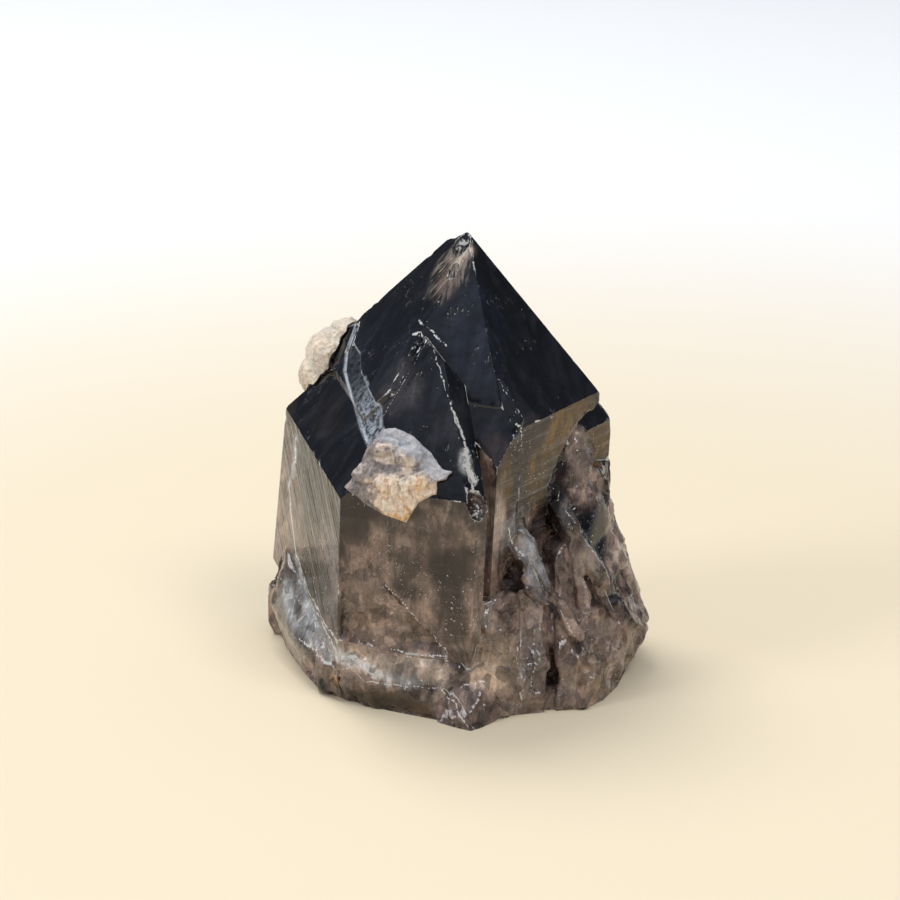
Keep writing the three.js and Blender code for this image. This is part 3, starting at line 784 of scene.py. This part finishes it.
def quartz_colours(points, ridge):
    """Two colours for each point of the quartz, one if it lies on a slope and one if it doesn't: black smoke
    on the slopes, with spots of bluish painted sheen, and from the top of the walls down to the broken stone
    brown, mauve and milk, with spots of painted backlight, painted light and painted shade, and a painted
    highlight on the ridges of broken stone."""
    height = (points - CENTRING) @ LEAN[:, 2] + 8.0 * layered_noise(points, 9.0, 5, 3)
    black, smoke, mauve, milk = (np.array(c) for c in (BLACK_SMOKE, BROWN_SMOKE, MAUVE, MILK))
    dull = smoke + (mauve - smoke) * ramp(34.0 - height, 0.0, 12.0)[:, None]
    dull = dull + (milk - dull) * (0.6 * ramp(layered_noise(points, 6.0, 5, 8), 0.05, 0.4))[:, None]
    dull = dull + (smoke - dull) * (0.8 * ramp(layered_noise(points, 5.0, 5, 12), 0.08, 0.35))[:, None]
    dull = dull + (black - dull) * ramp(points[:, 2], 42.0, 46.0)[:, None]
    dull = paint(points, dull, STONE_SPOTS, 100)
    for half_width, corners in VEINS:
        reach = line_distance(points, corners, 2.0 * half_width) / half_width
        vein = 0.8 * (1 - ramp(reach + 1.1 * layered_noise(points, 1.8, 4, 15), 0.0, 1.2))[:, None]
        dull = dull * (1 - vein) + np.array(VEIN_BLUE) * vein
    # Ridges of the broken stone are lightened towards pale milk: a painted highlight along them.
    light = 0.6 * ridge * ramp(dull.mean(1), 0.02, 0.12)
    dull = dull + (np.array(PALE_MILK) - dull) * light[:, None]
    slope = np.tile(black, (len(points), 1))
    return paint(points, slope, SLOPE_SPOTS, 200), dull


def quartz_mesh():
    """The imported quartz, split finely and worked over. Crystal faces stay flat, with chips knocked from
    their edges. Broken stone is rounded off, then scooped out in hollows that meet in ridges."""
    points, triangles = merged_arrays("smoky_quartz")
    kinds = crystal_kinds(points, triangles)
    edges = sharp_samples(points, triangles, kinds >= 0)
    lines = np.concatenate([line_points(corners) for _, corners in WHITE_LINES] + [scar_line()])
    low, high = points.min(0), points.max(0)
    edge_grid = DistanceGrid(low, high, edges)
    line_grid = DistanceGrid(low, high, lines)
    shape = bpy.context.scene.quartz_specimen

    def target(places, tags):
        near_edge = EDGE_SIZE + 0.45 * (edge_grid(places) - EDGE_REACH)
        near_edge = np.clip(near_edge, EDGE_SIZE, OPEN_SIZE)
        near_line = np.maximum(LINE_SIZE + 0.5 * (line_grid(places) - LINE_REACH), LINE_SIZE)
        size = np.where(tags >= 0, near_edge, np.minimum(near_edge, BROKEN_SIZE))
        size = np.minimum(size, near_line)
        size = np.where(places[:, 1] > BACK_FROM, np.maximum(size, BACK_SIZE), size)
        return np.where(places[:, 2] < FLOOR_LEVEL, FLOOR_SIZE, size)

    points, triangles, kinds = refine(points, triangles, kinds, target)
    to_edge = distance_to(points, edges)
    broken = np.ones(len(points))
    broken[triangles[kinds >= 0].ravel()] = 0.0
    floor = points[:, 2] < FLOOR_LEVEL
    free = broken * ramp(to_edge, 0.0, 1.0)
    free[floor] = 0.0
    points = soften(points, triangles, 0.5 * free, 5)

    normals = point_normals(points, triangles)
    calm = np.ones(len(points))
    for middle, half, loss in CALM_SPOTS:
        calm -= loss * calm * soft_spot(points, np.array(middle), np.array(half), 300)
    loose = np.flatnonzero(free > 0)
    place = points[loose] * np.array((1.0, 1.0, 0.75))
    nearest, gap, facets = broken_cells(place, 6.5, 31)
    small, small_gap, small_facets = broken_cells(place, 2.6, 41)
    push = 1.6 * (nearest**2 - 0.42) + 0.25 * (small**2 - 0.35) + 0.6 * layered_noise(place, 9.0, 2, 5)
    push = push + 0.7 * facets + 0.5 * small_facets
    freedom = free[loose] * calm[loose]
    move, ridge = np.zeros(len(points)), np.zeros(len(points))
    move[loose] = shape.broken_relief / MM * push * freedom
    # The crests where hollows meet, which the colours later lighten as a painted highlight.
    crest = np.maximum(1 - ramp(gap, 0.0, 0.12), 0.6 * (1 - ramp(small_gap, 0.0, 0.16)))
    ridge[loose] = crest * freedom * ramp(layered_noise(place, 3.0, 3, 55), -0.15, 0.5)

    chip = ramp(layered_noise(points, 2.2, 3, 21), 0.12, 0.5) * (1 - ramp(to_edge, 0.0, 0.55))
    move = move - shape.chip_depth / MM * chip * (1 - 0.6 * broken)
    move[floor] = 0.0
    points = points + normals * move[:, None]
    points = np.clip(points, low - BOX_SLACK, high + BOX_SLACK)
    points[:, 2] = np.maximum(points[:, 2], 0.0)
    return points, triangles, kinds, to_edge, ridge, calm


# How far the growth lines of the left wall are turned from level.
SLANT = 42.0


def grain_coordinates(points, triangles, kinds):
    """For each corner, its place across and up its own crystal face, in mm, so that growth lines run
    straight on every face. Broken stone uses the front wall's directions."""
    corners = points[triangles.ravel()]
    tags = np.repeat(kinds, 3)
    result = np.zeros((len(corners), 3))
    choices = [(BROKEN, WALL_FRAMES[FRONT])]
    choices += list(enumerate(SLOPE_FRAMES))
    choices += [(WALL + row, axes) for row, axes in enumerate(WALL_FRAMES)]
    for tag, axes in choices:
        here = tags == tag
        result[here, 0] = corners[here] @ axes[0]
        result[here, 1] = corners[here] @ axes[1]
        result[here, 2] = 7.0 * tag
    slanted = tags == WALL + FRONT_LEFT
    turn = math.radians(SLANT)
    across, up = result[slanted, 0].copy(), result[slanted, 1].copy()
    result[slanted, 0] = across * math.cos(turn) - up * math.sin(turn)
    result[slanted, 1] = across * math.sin(turn) + up * math.cos(turn)
    return result


def quartz_material(groups):
    """Smoky quartz: see-through brown, glossy on the crystal faces, with growth lines and pits there,
    and milky, veined and speckled where it is broken."""
    looks = bpy.context.scene.quartz_specimen
    material, nodes, shader = new_material("smoky_quartz_look")
    place = nodes.add("ShaderNodeTexCoord").outputs["Object"]
    kind = nodes.attribute("kind", "Color")
    slope, wall, broken = nodes.add("ShaderNodeSeparateColor", Color=kind).outputs
    grain = nodes.attribute("grain", "Vector")
    dull = nodes.plus(wall, broken)
    zone = nodes.attribute("zone")
    mottle = use_group(nodes, groups["mottle"], Vector=place, Patch_Size=5.5, Grain_Size=0.45)
    chips = use_group(nodes, groups["chips"], Vector=place, Nearness=nodes.attribute("white"))
    upright_place = nodes.stretched(place, (1, 1, 0.8))
    facets = use_group(nodes, groups["facets"], Vector=upright_place, Size=1.4, Tilt=1.0)
    lined = nodes.attribute("lined")

    # Cloud: dark and pale patches, upright streaks and fine speckle, with broken facets painted lighter and
    # darker as painted shading; further down, a bluish painted sheen on the slopes.
    tint = nodes.attribute("tint", "Color")
    depth = nodes.add("ShaderNodeRGBToBW", Color=tint).outputs[0]
    open_stone = nodes.times(dull, nodes.range(depth, 0.01, 0.16))
    shade = nodes.range(mottle["Patches"], 0.30, 0.70, 0.6, 1.42)
    upright = nodes.noise(nodes.stretched(grain, (0.6, 0.13, 0.2)), 1.0, 5.0, 0.72, 0.4)
    upright = nodes.minus(nodes.range(upright, 0.34, 0.66, 0.5, 1.55), 1.0)
    upright = nodes.times(upright, nodes.minus(1.0, nodes.times(broken, 0.55)))
    shade = nodes.times(shade, nodes.plus(1.0, upright))
    shade = nodes.times(shade, nodes.range(mottle["Grain"], 0.25, 0.75, 0.78, 1.22))
    # Each broken facet is painted lighter or darker at random: painted shading, for facets that face the
    # light at different angles.
    painted_facet_shading = nodes.range(facets["Shade"], 0.0, 1.0, 0.66, 1.38)
    painted_facet_shading = nodes.plus(1.0, nodes.times(broken, nodes.minus(painted_facet_shading, 1.0)))
    shade = nodes.times(shade, painted_facet_shading)
    colour = nodes.mix(1.0, tint, nodes.grey(shade), "MULTIPLY")
    wisps = nodes.noise(nodes.stretched(grain, (0.26, 0.11, 0.2)), 1.0, 5.0, 0.62, 1.0)
    threads = nodes.range(nodes.math("ABSOLUTE", nodes.minus(wisps, 0.5)), 0.0, 0.010, 0.35, 0.0)
    colour = nodes.mix(nodes.times(threads, open_stone), colour, (0.62, 0.54, 0.47))
    veil = nodes.times(nodes.range(wisps, 0.54, 0.68, 0.0, 0.55), open_stone)
    colour = nodes.mix(veil, colour, (0.56, 0.46, 0.38))
    streak = nodes.times(nodes.range(wisps, 0.30, 0.42, 0.55, 0.0), dull)
    colour = nodes.mix(streak, colour, (0.020, 0.012, 0.011))
    growth = nodes.noise(nodes.stretched(grain, (0.045, 0.95, 1.0)), 1.0, 4.0, 0.68)
    lines = nodes.times(nodes.range(growth, 0.50, 0.64, 0.0, 0.75), lined)
    colour = nodes.mix(lines, colour, (0.30, 0.31, 0.33))
    # A bluish painted sheen in soft patches on the slopes, standing for reflected light.
    painted_sheen = nodes.times(nodes.range(wisps, 0.46, 0.70, 0.0, 0.09), slope)
    colour = nodes.mix(painted_sheen, colour, (0.20, 0.21, 0.27))

    # Fibres that fan down from the broken tip, white and rust.
    fan = nodes.noise(nodes.stretched(grain, (1.5, 0.22, 1.0)), 1.0, 3.0, 0.7, 0.4)
    tip = nodes.attribute("fibres")
    colour = nodes.mix(nodes.times(nodes.range(fan, 0.44, 0.6), tip), colour, (0.40, 0.33, 0.27))
    rust = nodes.times(nodes.range(fan, 0.62, 0.68, 0.0, 0.7), tip)
    colour = nodes.mix(rust, colour, (0.30, 0.13, 0.05))

    # White flecks, chipped edges and lines, and the frosted scar.
    limit = nodes.minus(0.745, nodes.times(zone, 0.13))
    fleck = nodes.range(nodes.minus(chips["Speckle"], limit), 0.0, 0.04)
    fleck = nodes.times(fleck, nodes.plus(nodes.times(slope, 0.3), dull))
    frost = nodes.noise(place, 1000.0, 3.0, 0.75)
    frosted = nodes.times(nodes.attribute("scar"), nodes.range(frost, 0.38, 0.60, 0.12, 0.95))
    rim = nodes.range(nodes.attribute("scar_edge"), 0.08, 0.5, 1.0, 0.0)
    rim = nodes.times(rim, nodes.range(frost, 0.28, 0.5, 0.15, 1.0))
    colour = nodes.mix(frosted, colour, (0.50, 0.55, 0.63))
    colour = nodes.mix(rim, colour, (0.75, 0.81, 0.88))
    white = nodes.math("MAXIMUM", fleck, chips["Mask"])
    colour = nodes.mix(white, colour, (0.96, 0.94, 0.91))

    # Etch pits, dark and long, on the slopes.
    pits = nodes.add(
        "ShaderNodeTexVoronoi",
        {"feature": "F1"},
        Vector=nodes.stretched(grain, (0.9, 0.30, 1.0), (0.0, 0.0, 0.35)),
        Scale=1.0,
    ).outputs[0]
    pit = nodes.times(nodes.range(pits, 0.14, 0.24, 1.0, 0.0), slope)
    pit = nodes.times(pit, zone)
    colour = nodes.mix(nodes.times(pit, 0.8), colour, (0.002, 0.002, 0.003))
    nodes.feed(shader.inputs["Base Color"], colour)

    fine = nodes.noise(place, 700.0, 3.0, 0.7)
    gloss = nodes.range(fine, 0.3, 0.7, 0.05, 0.14)
    dullness = nodes.range(fine, 0.40, 0.66, 0.03, 0.18)
    roughness = nodes.add("ShaderNodeMix", {"data_type": "FLOAT"})
    nodes.feed(roughness.inputs[0], broken)
    nodes.feed(roughness.inputs[2], gloss)
    nodes.feed(roughness.inputs[3], dullness)
    pale = nodes.math("MAXIMUM", white, nodes.math("MAXIMUM", frosted, rim))
    rough = nodes.plus(roughness.outputs[0], nodes.times(pale, 0.35))
    nodes.feed(shader.inputs["Roughness"], nodes.plus(rough, nodes.times(pit, 0.25)))

    # Relief, in metres: growth lines and low waves on crystal faces, facets and grain on broken stone.
    steps = nodes.noise(nodes.stretched(grain, (0.16, 0.22, 1.0)), 1.0, 2.0, 0.6)
    height = nodes.times(growth, nodes.plus(0.008, nodes.times(lined, 0.45)))
    height = nodes.plus(height, nodes.times(steps, 0.10))
    height = nodes.minus(height, nodes.times(pit, 0.05))
    height = nodes.times(height, MM)
    rough_stone = nodes.times(broken, nodes.attribute("calm"))
    rough_stone = nodes.times(rough_stone, nodes.range(zone, 0.0, 1.0, 0.35, 1.0))
    height = nodes.plus(height, nodes.times(facets["Height"], rough_stone))
    height = nodes.plus(height, nodes.times(fine, nodes.times(broken, 0.09 * MM)))
    bump = nodes.add("ShaderNodeBump", Height=height, Distance=1.0, Strength=1.0)
    nodes.feed(shader.inputs["Normal"], bump.outputs[0])

    # Growth lines that are etched dull take some of the mirror off.
    etched = nodes.times(nodes.range(growth, 0.38, 0.60, 0.50, 0.22), lined)
    nodes.feed(shader.inputs["Specular IOR Level"], nodes.minus(0.5, etched))
    shader.inputs["IOR"].default_value = QUARTZ_IOR
    shader.inputs["Transmission Weight"].default_value = looks.see_through
    absorb = nodes.add("ShaderNodeVolumeAbsorption")
    absorb.inputs["Color"].default_value = (*looks.smoke_colour, 1.0)
    absorb.inputs["Density"].default_value = looks.smoke_density
    output = material.node_tree.nodes["Material Output"]
    material.node_tree.links.new(absorb.outputs[0], output.inputs["Volume"])
    return material


# The feldspar


def feldspar_mesh(name, seed, relief):
    """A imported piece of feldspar, split finely, with its outline made ragged and its surface blocky."""
    points, triangles = merged_arrays(name)
    tags = np.zeros(len(triangles), int)
    points, triangles, _ = refine(points, triangles, tags, lambda places, _: np.full(len(places), 0.26))
    normals = point_normals(points, triangles)
    lumps = layered_noise(points, 3.2, 5, seed)
    blocks = np.abs(layered_noise(points, 1.6, 3, seed + 5))
    grit = layered_noise(points, 0.6, 2, seed + 9)
    move = relief / MM * (0.7 * lumps + 0.5 * blocks + 0.25 * grit - 0.25)
    return points + normals * np.minimum(move, relief / MM * 0.55)[:, None], triangles


def feldspar_material(name, groups, looks):
    """Dull feldspar in two tones with stained patches, pale fibres and fine grain."""
    material, nodes, shader = new_material(name)
    place = nodes.add("ShaderNodeTexCoord").outputs["Object"]
    mottle = use_group(nodes, groups["mottle"], Vector=place, Patch_Size=looks["patch"], Grain_Size=0.45)
    zone = nodes.attribute("zone")
    warmth = nodes.plus(mottle["Patches"], nodes.times(zone, 0.22))
    colour = nodes.mix(nodes.range(warmth, 0.44, 0.62), looks["cool"], looks["warm"])
    stain = nodes.times(nodes.range(nodes.noise(place, 300.0, 5.0, 0.65), 0.42, 0.62), zone)
    colour = nodes.mix(stain, colour, looks["stain"])
    fan = nodes.stretched(nodes.attribute("fan", "Vector"), (1.9, 0.7, 1.0))
    fibres = nodes.noise(fan, 1.0, 6.0, 0.72, 0.9)
    inside = nodes.range(zone, 0.0, 1.0, 0.35, 1.0)
    pale = nodes.times(nodes.range(fibres, 0.44, 0.66, 0.0, 0.8), inside)
    colour = nodes.mix(pale, colour, looks["pale"])
    colour = nodes.mix(nodes.range(fibres, 0.34, 0.46, 0.6, 0.0), colour, looks["dark"])
    colour = nodes.mix(nodes.attribute("rim"), colour, looks["edge"])
    speckle = nodes.grey(nodes.range(mottle["Grain"], 0.3, 0.7, 0.8, 1.15))
    nodes.feed(shader.inputs["Base Color"], nodes.mix(1.0, colour, speckle, "MULTIPLY"))
    nodes.feed(shader.inputs["Roughness"], nodes.range(mottle["Grain"], 0.3, 0.7, 0.32, 0.6))
    height = nodes.plus(mottle["Grain"], nodes.times(fibres, 0.5))
    bump = nodes.add("ShaderNodeBump", Height=height, Distance=MM, Strength=0.4)
    nodes.feed(shader.inputs["Normal"], bump.outputs[0])
    shader.inputs["Subsurface Weight"].default_value = 0.15
    shader.inputs["Subsurface Scale"].default_value = 0.8 * MM
    return material


# What a user can change


class QuartzSpecimenSettings(bpy.types.PropertyGroup):
    """Sizes and colours of the quartz, and the light on the stage."""

    broken_relief: FloatProperty(
        name="Broken relief",
        description="How far the broken stone is pushed in and out",
        default=0.7 * MM,
        min=0.0,
        unit="LENGTH",
    )
    chip_depth: FloatProperty(
        name="Chip depth",
        description="How deep the chips in the crystals' edges are",
        default=0.28 * MM,
        min=0.0,
        unit="LENGTH",
    )
    feldspar_relief: FloatProperty(
        name="Feldspar relief",
        description="How rough the feldspar is",
        default=0.55 * MM,
        min=0.0,
        unit="LENGTH",
    )
    see_through: FloatProperty(
        name="See-through",
        description="How much light goes through the quartz's surface",
        default=0.42,
        min=0.0,
        max=1.0,
        subtype="FACTOR",
    )
    smoke_density: FloatProperty(
        name="Smoke density",
        description="How fast the smoke in the quartz takes up light",
        default=110.0,
        min=0.0,
    )
    smoke_colour: FloatVectorProperty(
        name="Smoke colour",
        description="Colour of the light that the quartz lets through",
        default=(0.50, 0.36, 0.24),
        subtype="COLOR",
        size=3,
        min=0.0,
        max=1.0,
    )
    floor_colour: FloatVectorProperty(
        name="Floor colour",
        description="Colour of the plain floor",
        default=(0.80, 0.69, 0.50),
        subtype="COLOR",
        size=3,
        min=0.0,
        max=1.0,
    )
    light_power: FloatProperty(
        name="Light power",
        description="Strength of the soft lights, as a multiple",
        default=1.0,
        min=0.0,
    )


def shared_groups():
    """The node groups that more than one material uses, made once."""
    made = bpy.data.node_groups
    return {
        "mottle": made.get("MineralMottle") or mineral_mottle_group(),
        "chips": made.get("EdgeChips") or edge_chip_group(),
        "facets": made.get("BrokenFacets") or broken_facets_group(),
    }


class QUARTZ_OT_crystals(bpy.types.Operator):
    """Makes the quartz: the crystals and their broken base"""

    bl_idname = "quartz.crystals"
    bl_label = "Quartz crystals"

    def execute(self, context):
        points, triangles, kinds, to_edge, ridge, calm = quartz_mesh()
        piece = put_mesh("quartz_crystals", points, triangles, 30.0)
        tags = np.repeat(kinds, 3)
        slope = ((tags >= 0) & (tags < WALL)).astype(float)
        wall = (tags >= WALL).astype(float)
        put_attribute(piece, "kind", np.stack((slope, wall, 1 - slope - wall), axis=1), "CORNER")
        on_slope, elsewhere = (colour[triangles.ravel()] for colour in quartz_colours(points, ridge))
        put_attribute(piece, "tint", np.where(slope[:, None] > 0.5, on_slope, elsewhere), "CORNER")
        put_attribute(piece, "grain", grain_coordinates(points, triangles, kinds), "CORNER")
        walls = [tags == WALL + FRONT_LEFT, tags == WALL + FRONT_RIGHT, tags >= WALL]
        lined = np.select(walls, [1.0, 0.45, 0.12])
        put_attribute(piece, "lined", lined, "CORNER")
        put_attribute(piece, "calm", calm)
        put_attribute(piece, "white", white_nearness(points, to_edge))
        put_attribute(piece, "zone", ramp(layered_noise(points, 5.0, 4, 77), -0.15, 0.3))
        along = (points - CENTRING) @ SLOPE_FRAMES[FRONT_LEFT][0]
        put_attribute(piece, "scar", inside_scar(points) * (0.10 + 0.90 * ramp(along, -13.0, 2.0)))
        put_attribute(piece, "scar_edge", np.minimum(distance_to(points, scar_line()), 5.0))
        fibres = soft_spot(points, np.array(FIBRES_AT), np.array(FIBRES_REACH), 90, 0.5)
        put_attribute(piece, "fibres", fibres)
        piece.data.materials.append(quartz_material(shared_groups()))
        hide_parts("smoky_quartz")
        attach(piece, "root")
        return {"FINISHED"}


# Where the fibres that fan from the tip are, and how far they reach.
FIBRES_AT = (-1.4, -3.0, 64.4)
FIBRES_REACH = (4.2, 5.0, 5.4)
# Patch size in mm, and linear colours.
CRUST_LOOKS = {
    "patch": 2.6,
    "cool": (0.18, 0.15, 0.148),
    "warm": (0.76, 0.62, 0.51),
    "stain": (0.66, 0.37, 0.13),
    "pale": (0.96, 0.88, 0.76),
    "dark": (0.16, 0.13, 0.125),
    "edge": (0.42, 0.44, 0.48),
}
KNOB_LOOKS = {
    "patch": 5.0,
    "cool": (0.64, 0.55, 0.45),
    "warm": (0.78, 0.66, 0.51),
    "stain": (0.58, 0.45, 0.32),
    "pale": (0.68, 0.60, 0.50),
    "dark": (0.38, 0.31, 0.25),
    "edge": (0.66, 0.64, 0.60),
}


class QUARTZ_OT_feldspar(bpy.types.Operator):
    """Makes the feldspar crust and knob"""

    bl_idname = "quartz.feldspar"
    bl_label = "Feldspar"

    def execute(self, context):
        relief = context.scene.quartz_specimen.feldspar_relief
        across, up, out = SLOPE_FRAMES[FRONT]
        for node, seed, looks in (("feldspar_crust", 60, CRUST_LOOKS), ("feldspar_knob", 80, KNOB_LOOKS)):
            points, triangles = feldspar_mesh(node, seed, relief)
            piece = put_mesh(f"{node}_stone", points, triangles, 40.0)
            local = points - CENTRING
            x, y = local @ across, local @ up
            wobble = layered_noise(points, 3.0, 4, seed + 3)
            if node == "feldspar_crust":
                zone = ramp(23.5 + 3.0 * wobble - y, 0.0, 4.0) * ramp(x + 11.5 + 3.0 * wobble, 0.0, 4.0)
                rim = ramp(y + 0.55 * x - 19.9 + 1.5 * wobble, 0.0, 2.0) * 0.8
            else:
                zone = ramp(wobble, -0.1, 0.5)
                rim = ramp(wobble, 0.25, 0.6) * 0.5
            angle = np.arctan2(x + 7.5, 31.0 - y)
            reach = np.hypot(x + 7.5, 31.0 - y)
            put_attribute(piece, "fan", np.stack((9.0 * angle, reach, 0 * x), axis=1))
            put_attribute(piece, "zone", zone)
            put_attribute(piece, "rim", rim)
            piece.data.materials.append(feldspar_material(f"{node}_look", shared_groups(), looks))
            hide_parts(node)
            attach(piece, "root")
        return {"FINISHED"}


# The stage

# The photograph's view: the eye and its lens in mm, and how far it looks down in degrees.
CAMERA_EYE = (-1.1, -379.8, 161.2)
CAMERA_TILT = 18.3
CAMERA_LENS = 104.0
SENSOR = 36.0


def area_light(name, place, size, power, colour):
    """A soft square light that looks at the middle of the stone."""
    data = bpy.data.lights.new(name, "AREA")
    data.shape = "RECTANGLE"
    data.size, data.size_y = size
    data.energy = power
    data.color = colour
    lamp = bpy.data.objects.new(name, data)
    lamp.location = place
    lamp.rotation_euler = (Vector((0, 0, 0.03)) - Vector(place)).to_track_quat("-Z", "Y").to_euler()
    bpy.context.scene.collection.objects.link(lamp)
    return lamp


# The room's light at heights given as the sine of the elevation.
ROOM_BANDS = (
    (0.00, (0.98, 0.97, 0.95)),
    (0.02, (0.80, 0.80, 0.80)),
    (0.10, (0.105, 0.12, 0.15)),
    (0.55, (0.125, 0.14, 0.172)),
    (0.70, (0.44, 0.50, 0.62)),
    (1.00, (0.72, 0.75, 0.80)),
)


def studio_world():
    """A room that is white at the horizon, dim above it and brighter overhead, from each direction's
    height."""
    world = bpy.data.worlds.new("studio")
    world.use_nodes = True
    nodes = Nodes(world.node_tree)
    direction = nodes.add("ShaderNodeTexCoord").outputs["Generated"]
    height = nodes.add("ShaderNodeSeparateXYZ", Vector=direction).outputs["Z"]
    band = nodes.add("ShaderNodeValToRGB", Fac=height)
    items = band.color_ramp.elements
    while len(items) < len(ROOM_BANDS):
        items.new(0.5)
    for item, (place, light) in zip(items, ROOM_BANDS):
        item.position = place
        item.color = (*light, 1.0)
    background = world.node_tree.nodes["Background"]
    nodes.feed(background.inputs["Color"], band.outputs[0])
    bpy.context.scene.world = world


FLOOR_RADIUS = 1500.0
FLOOR_CORNERS = 96


def plain_floor(colour):
    """A disc of pale plaster round the stone, in the warm colour near it and nearly white further out."""
    turns = np.linspace(0, 2 * math.pi, FLOOR_CORNERS, endpoint=False)
    rim = np.stack((np.cos(turns), np.sin(turns), 0 * turns), axis=1) * FLOOR_RADIUS
    points = np.concatenate((np.zeros((1, 3)), rim))
    around = np.arange(FLOOR_CORNERS)
    triangles = np.stack((0 * around, 1 + around, 1 + (around + 1) % FLOOR_CORNERS), axis=1)
    floor = put_mesh("floor", points, triangles, 30.0)
    material, nodes, shader = new_material("pale_floor")
    place = nodes.add("ShaderNodeTexCoord").outputs["Object"]
    reach = nodes.add("ShaderNodeVectorMath", {"operation": "LENGTH"}, Vector=place).outputs["Value"]
    pale = nodes.mix(nodes.range(reach, 0.08, 0.40), tuple(colour), (0.92, 0.92, 0.91))
    nodes.feed(shader.inputs["Base Color"], pale)
    shader.inputs["Roughness"].default_value = 0.75
    floor.data.materials.append(material)
    return floor


class QUARTZ_OT_stage(bpy.types.Operator):
    """Sets the plain pale floor, the soft light and the camera"""

    bl_idname = "quartz.stage"
    bl_label = "Stage"

    def execute(self, context):
        settings = context.scene.quartz_specimen
        power = settings.light_power
        plain_floor(settings.floor_colour)
        studio_world()
        area_light("key", (-0.45, 0.55, 1.25), (0.8, 0.8), 11.5 * power, (1.0, 0.985, 0.96))
        area_light("left_window", (-0.95, -0.45, 0.60), (0.35, 0.6), 4.5 * power, (0.96, 0.98, 1.0))
        area_light("right_window", (0.45, -0.60, 1.05), (0.45, 0.45), 5.0 * power, (1.0, 0.98, 0.95))
        data = bpy.data.cameras.new("camera")
        data.lens = CAMERA_LENS
        data.sensor_width = SENSOR
        data.clip_start = 0.01
        camera = bpy.data.objects.new("camera", data)
        camera.location = [float(c) * MM for c in np.array(CAMERA_EYE) + CENTRING]
        camera.rotation_euler = (math.radians(90.0 - CAMERA_TILT), 0.0, 0.0)
        context.scene.collection.objects.link(camera)
        context.scene.camera = camera
        context.scene.view_settings.view_transform = "Standard"
        return {"FINISHED"}


class QUARTZ_PT_panel(bpy.types.Panel):
    """The specimen's settings and pieces"""

    bl_idname = "QUARTZ_PT_panel"
    bl_label = "Smoky Quartz"
    bl_space_type = "VIEW_3D"
    bl_region_type = "UI"
    bl_category = "Smoky Quartz"

    def draw(self, context):
        column = self.layout.column()
        settings = context.scene.quartz_specimen
        for name in settings.__annotations__:
            column.prop(settings, name)
        for operator in (QUARTZ_OT_crystals, QUARTZ_OT_feldspar, QUARTZ_OT_stage):
            column.operator(operator.bl_idname)


CLASSES = (
    QuartzSpecimenSettings,
    QUARTZ_OT_crystals,
    QUARTZ_OT_feldspar,
    QUARTZ_OT_stage,
    QUARTZ_PT_panel,
)


def register():
    for item in CLASSES:
        bpy.utils.register_class(item)
    bpy.types.Scene.quartz_specimen = PointerProperty(type=QuartzSpecimenSettings)


def unregister():
    del bpy.types.Scene.quartz_specimen
    for item in reversed(CLASSES):
        bpy.utils.unregister_class(item)


def main():
    register()
    bpy.ops.quartz.crystals()
    bpy.ops.quartz.feldspar()
    bpy.ops.quartz.stage()
    bpy.context.view_layer.update()


if __name__ == "__main__":
    main()
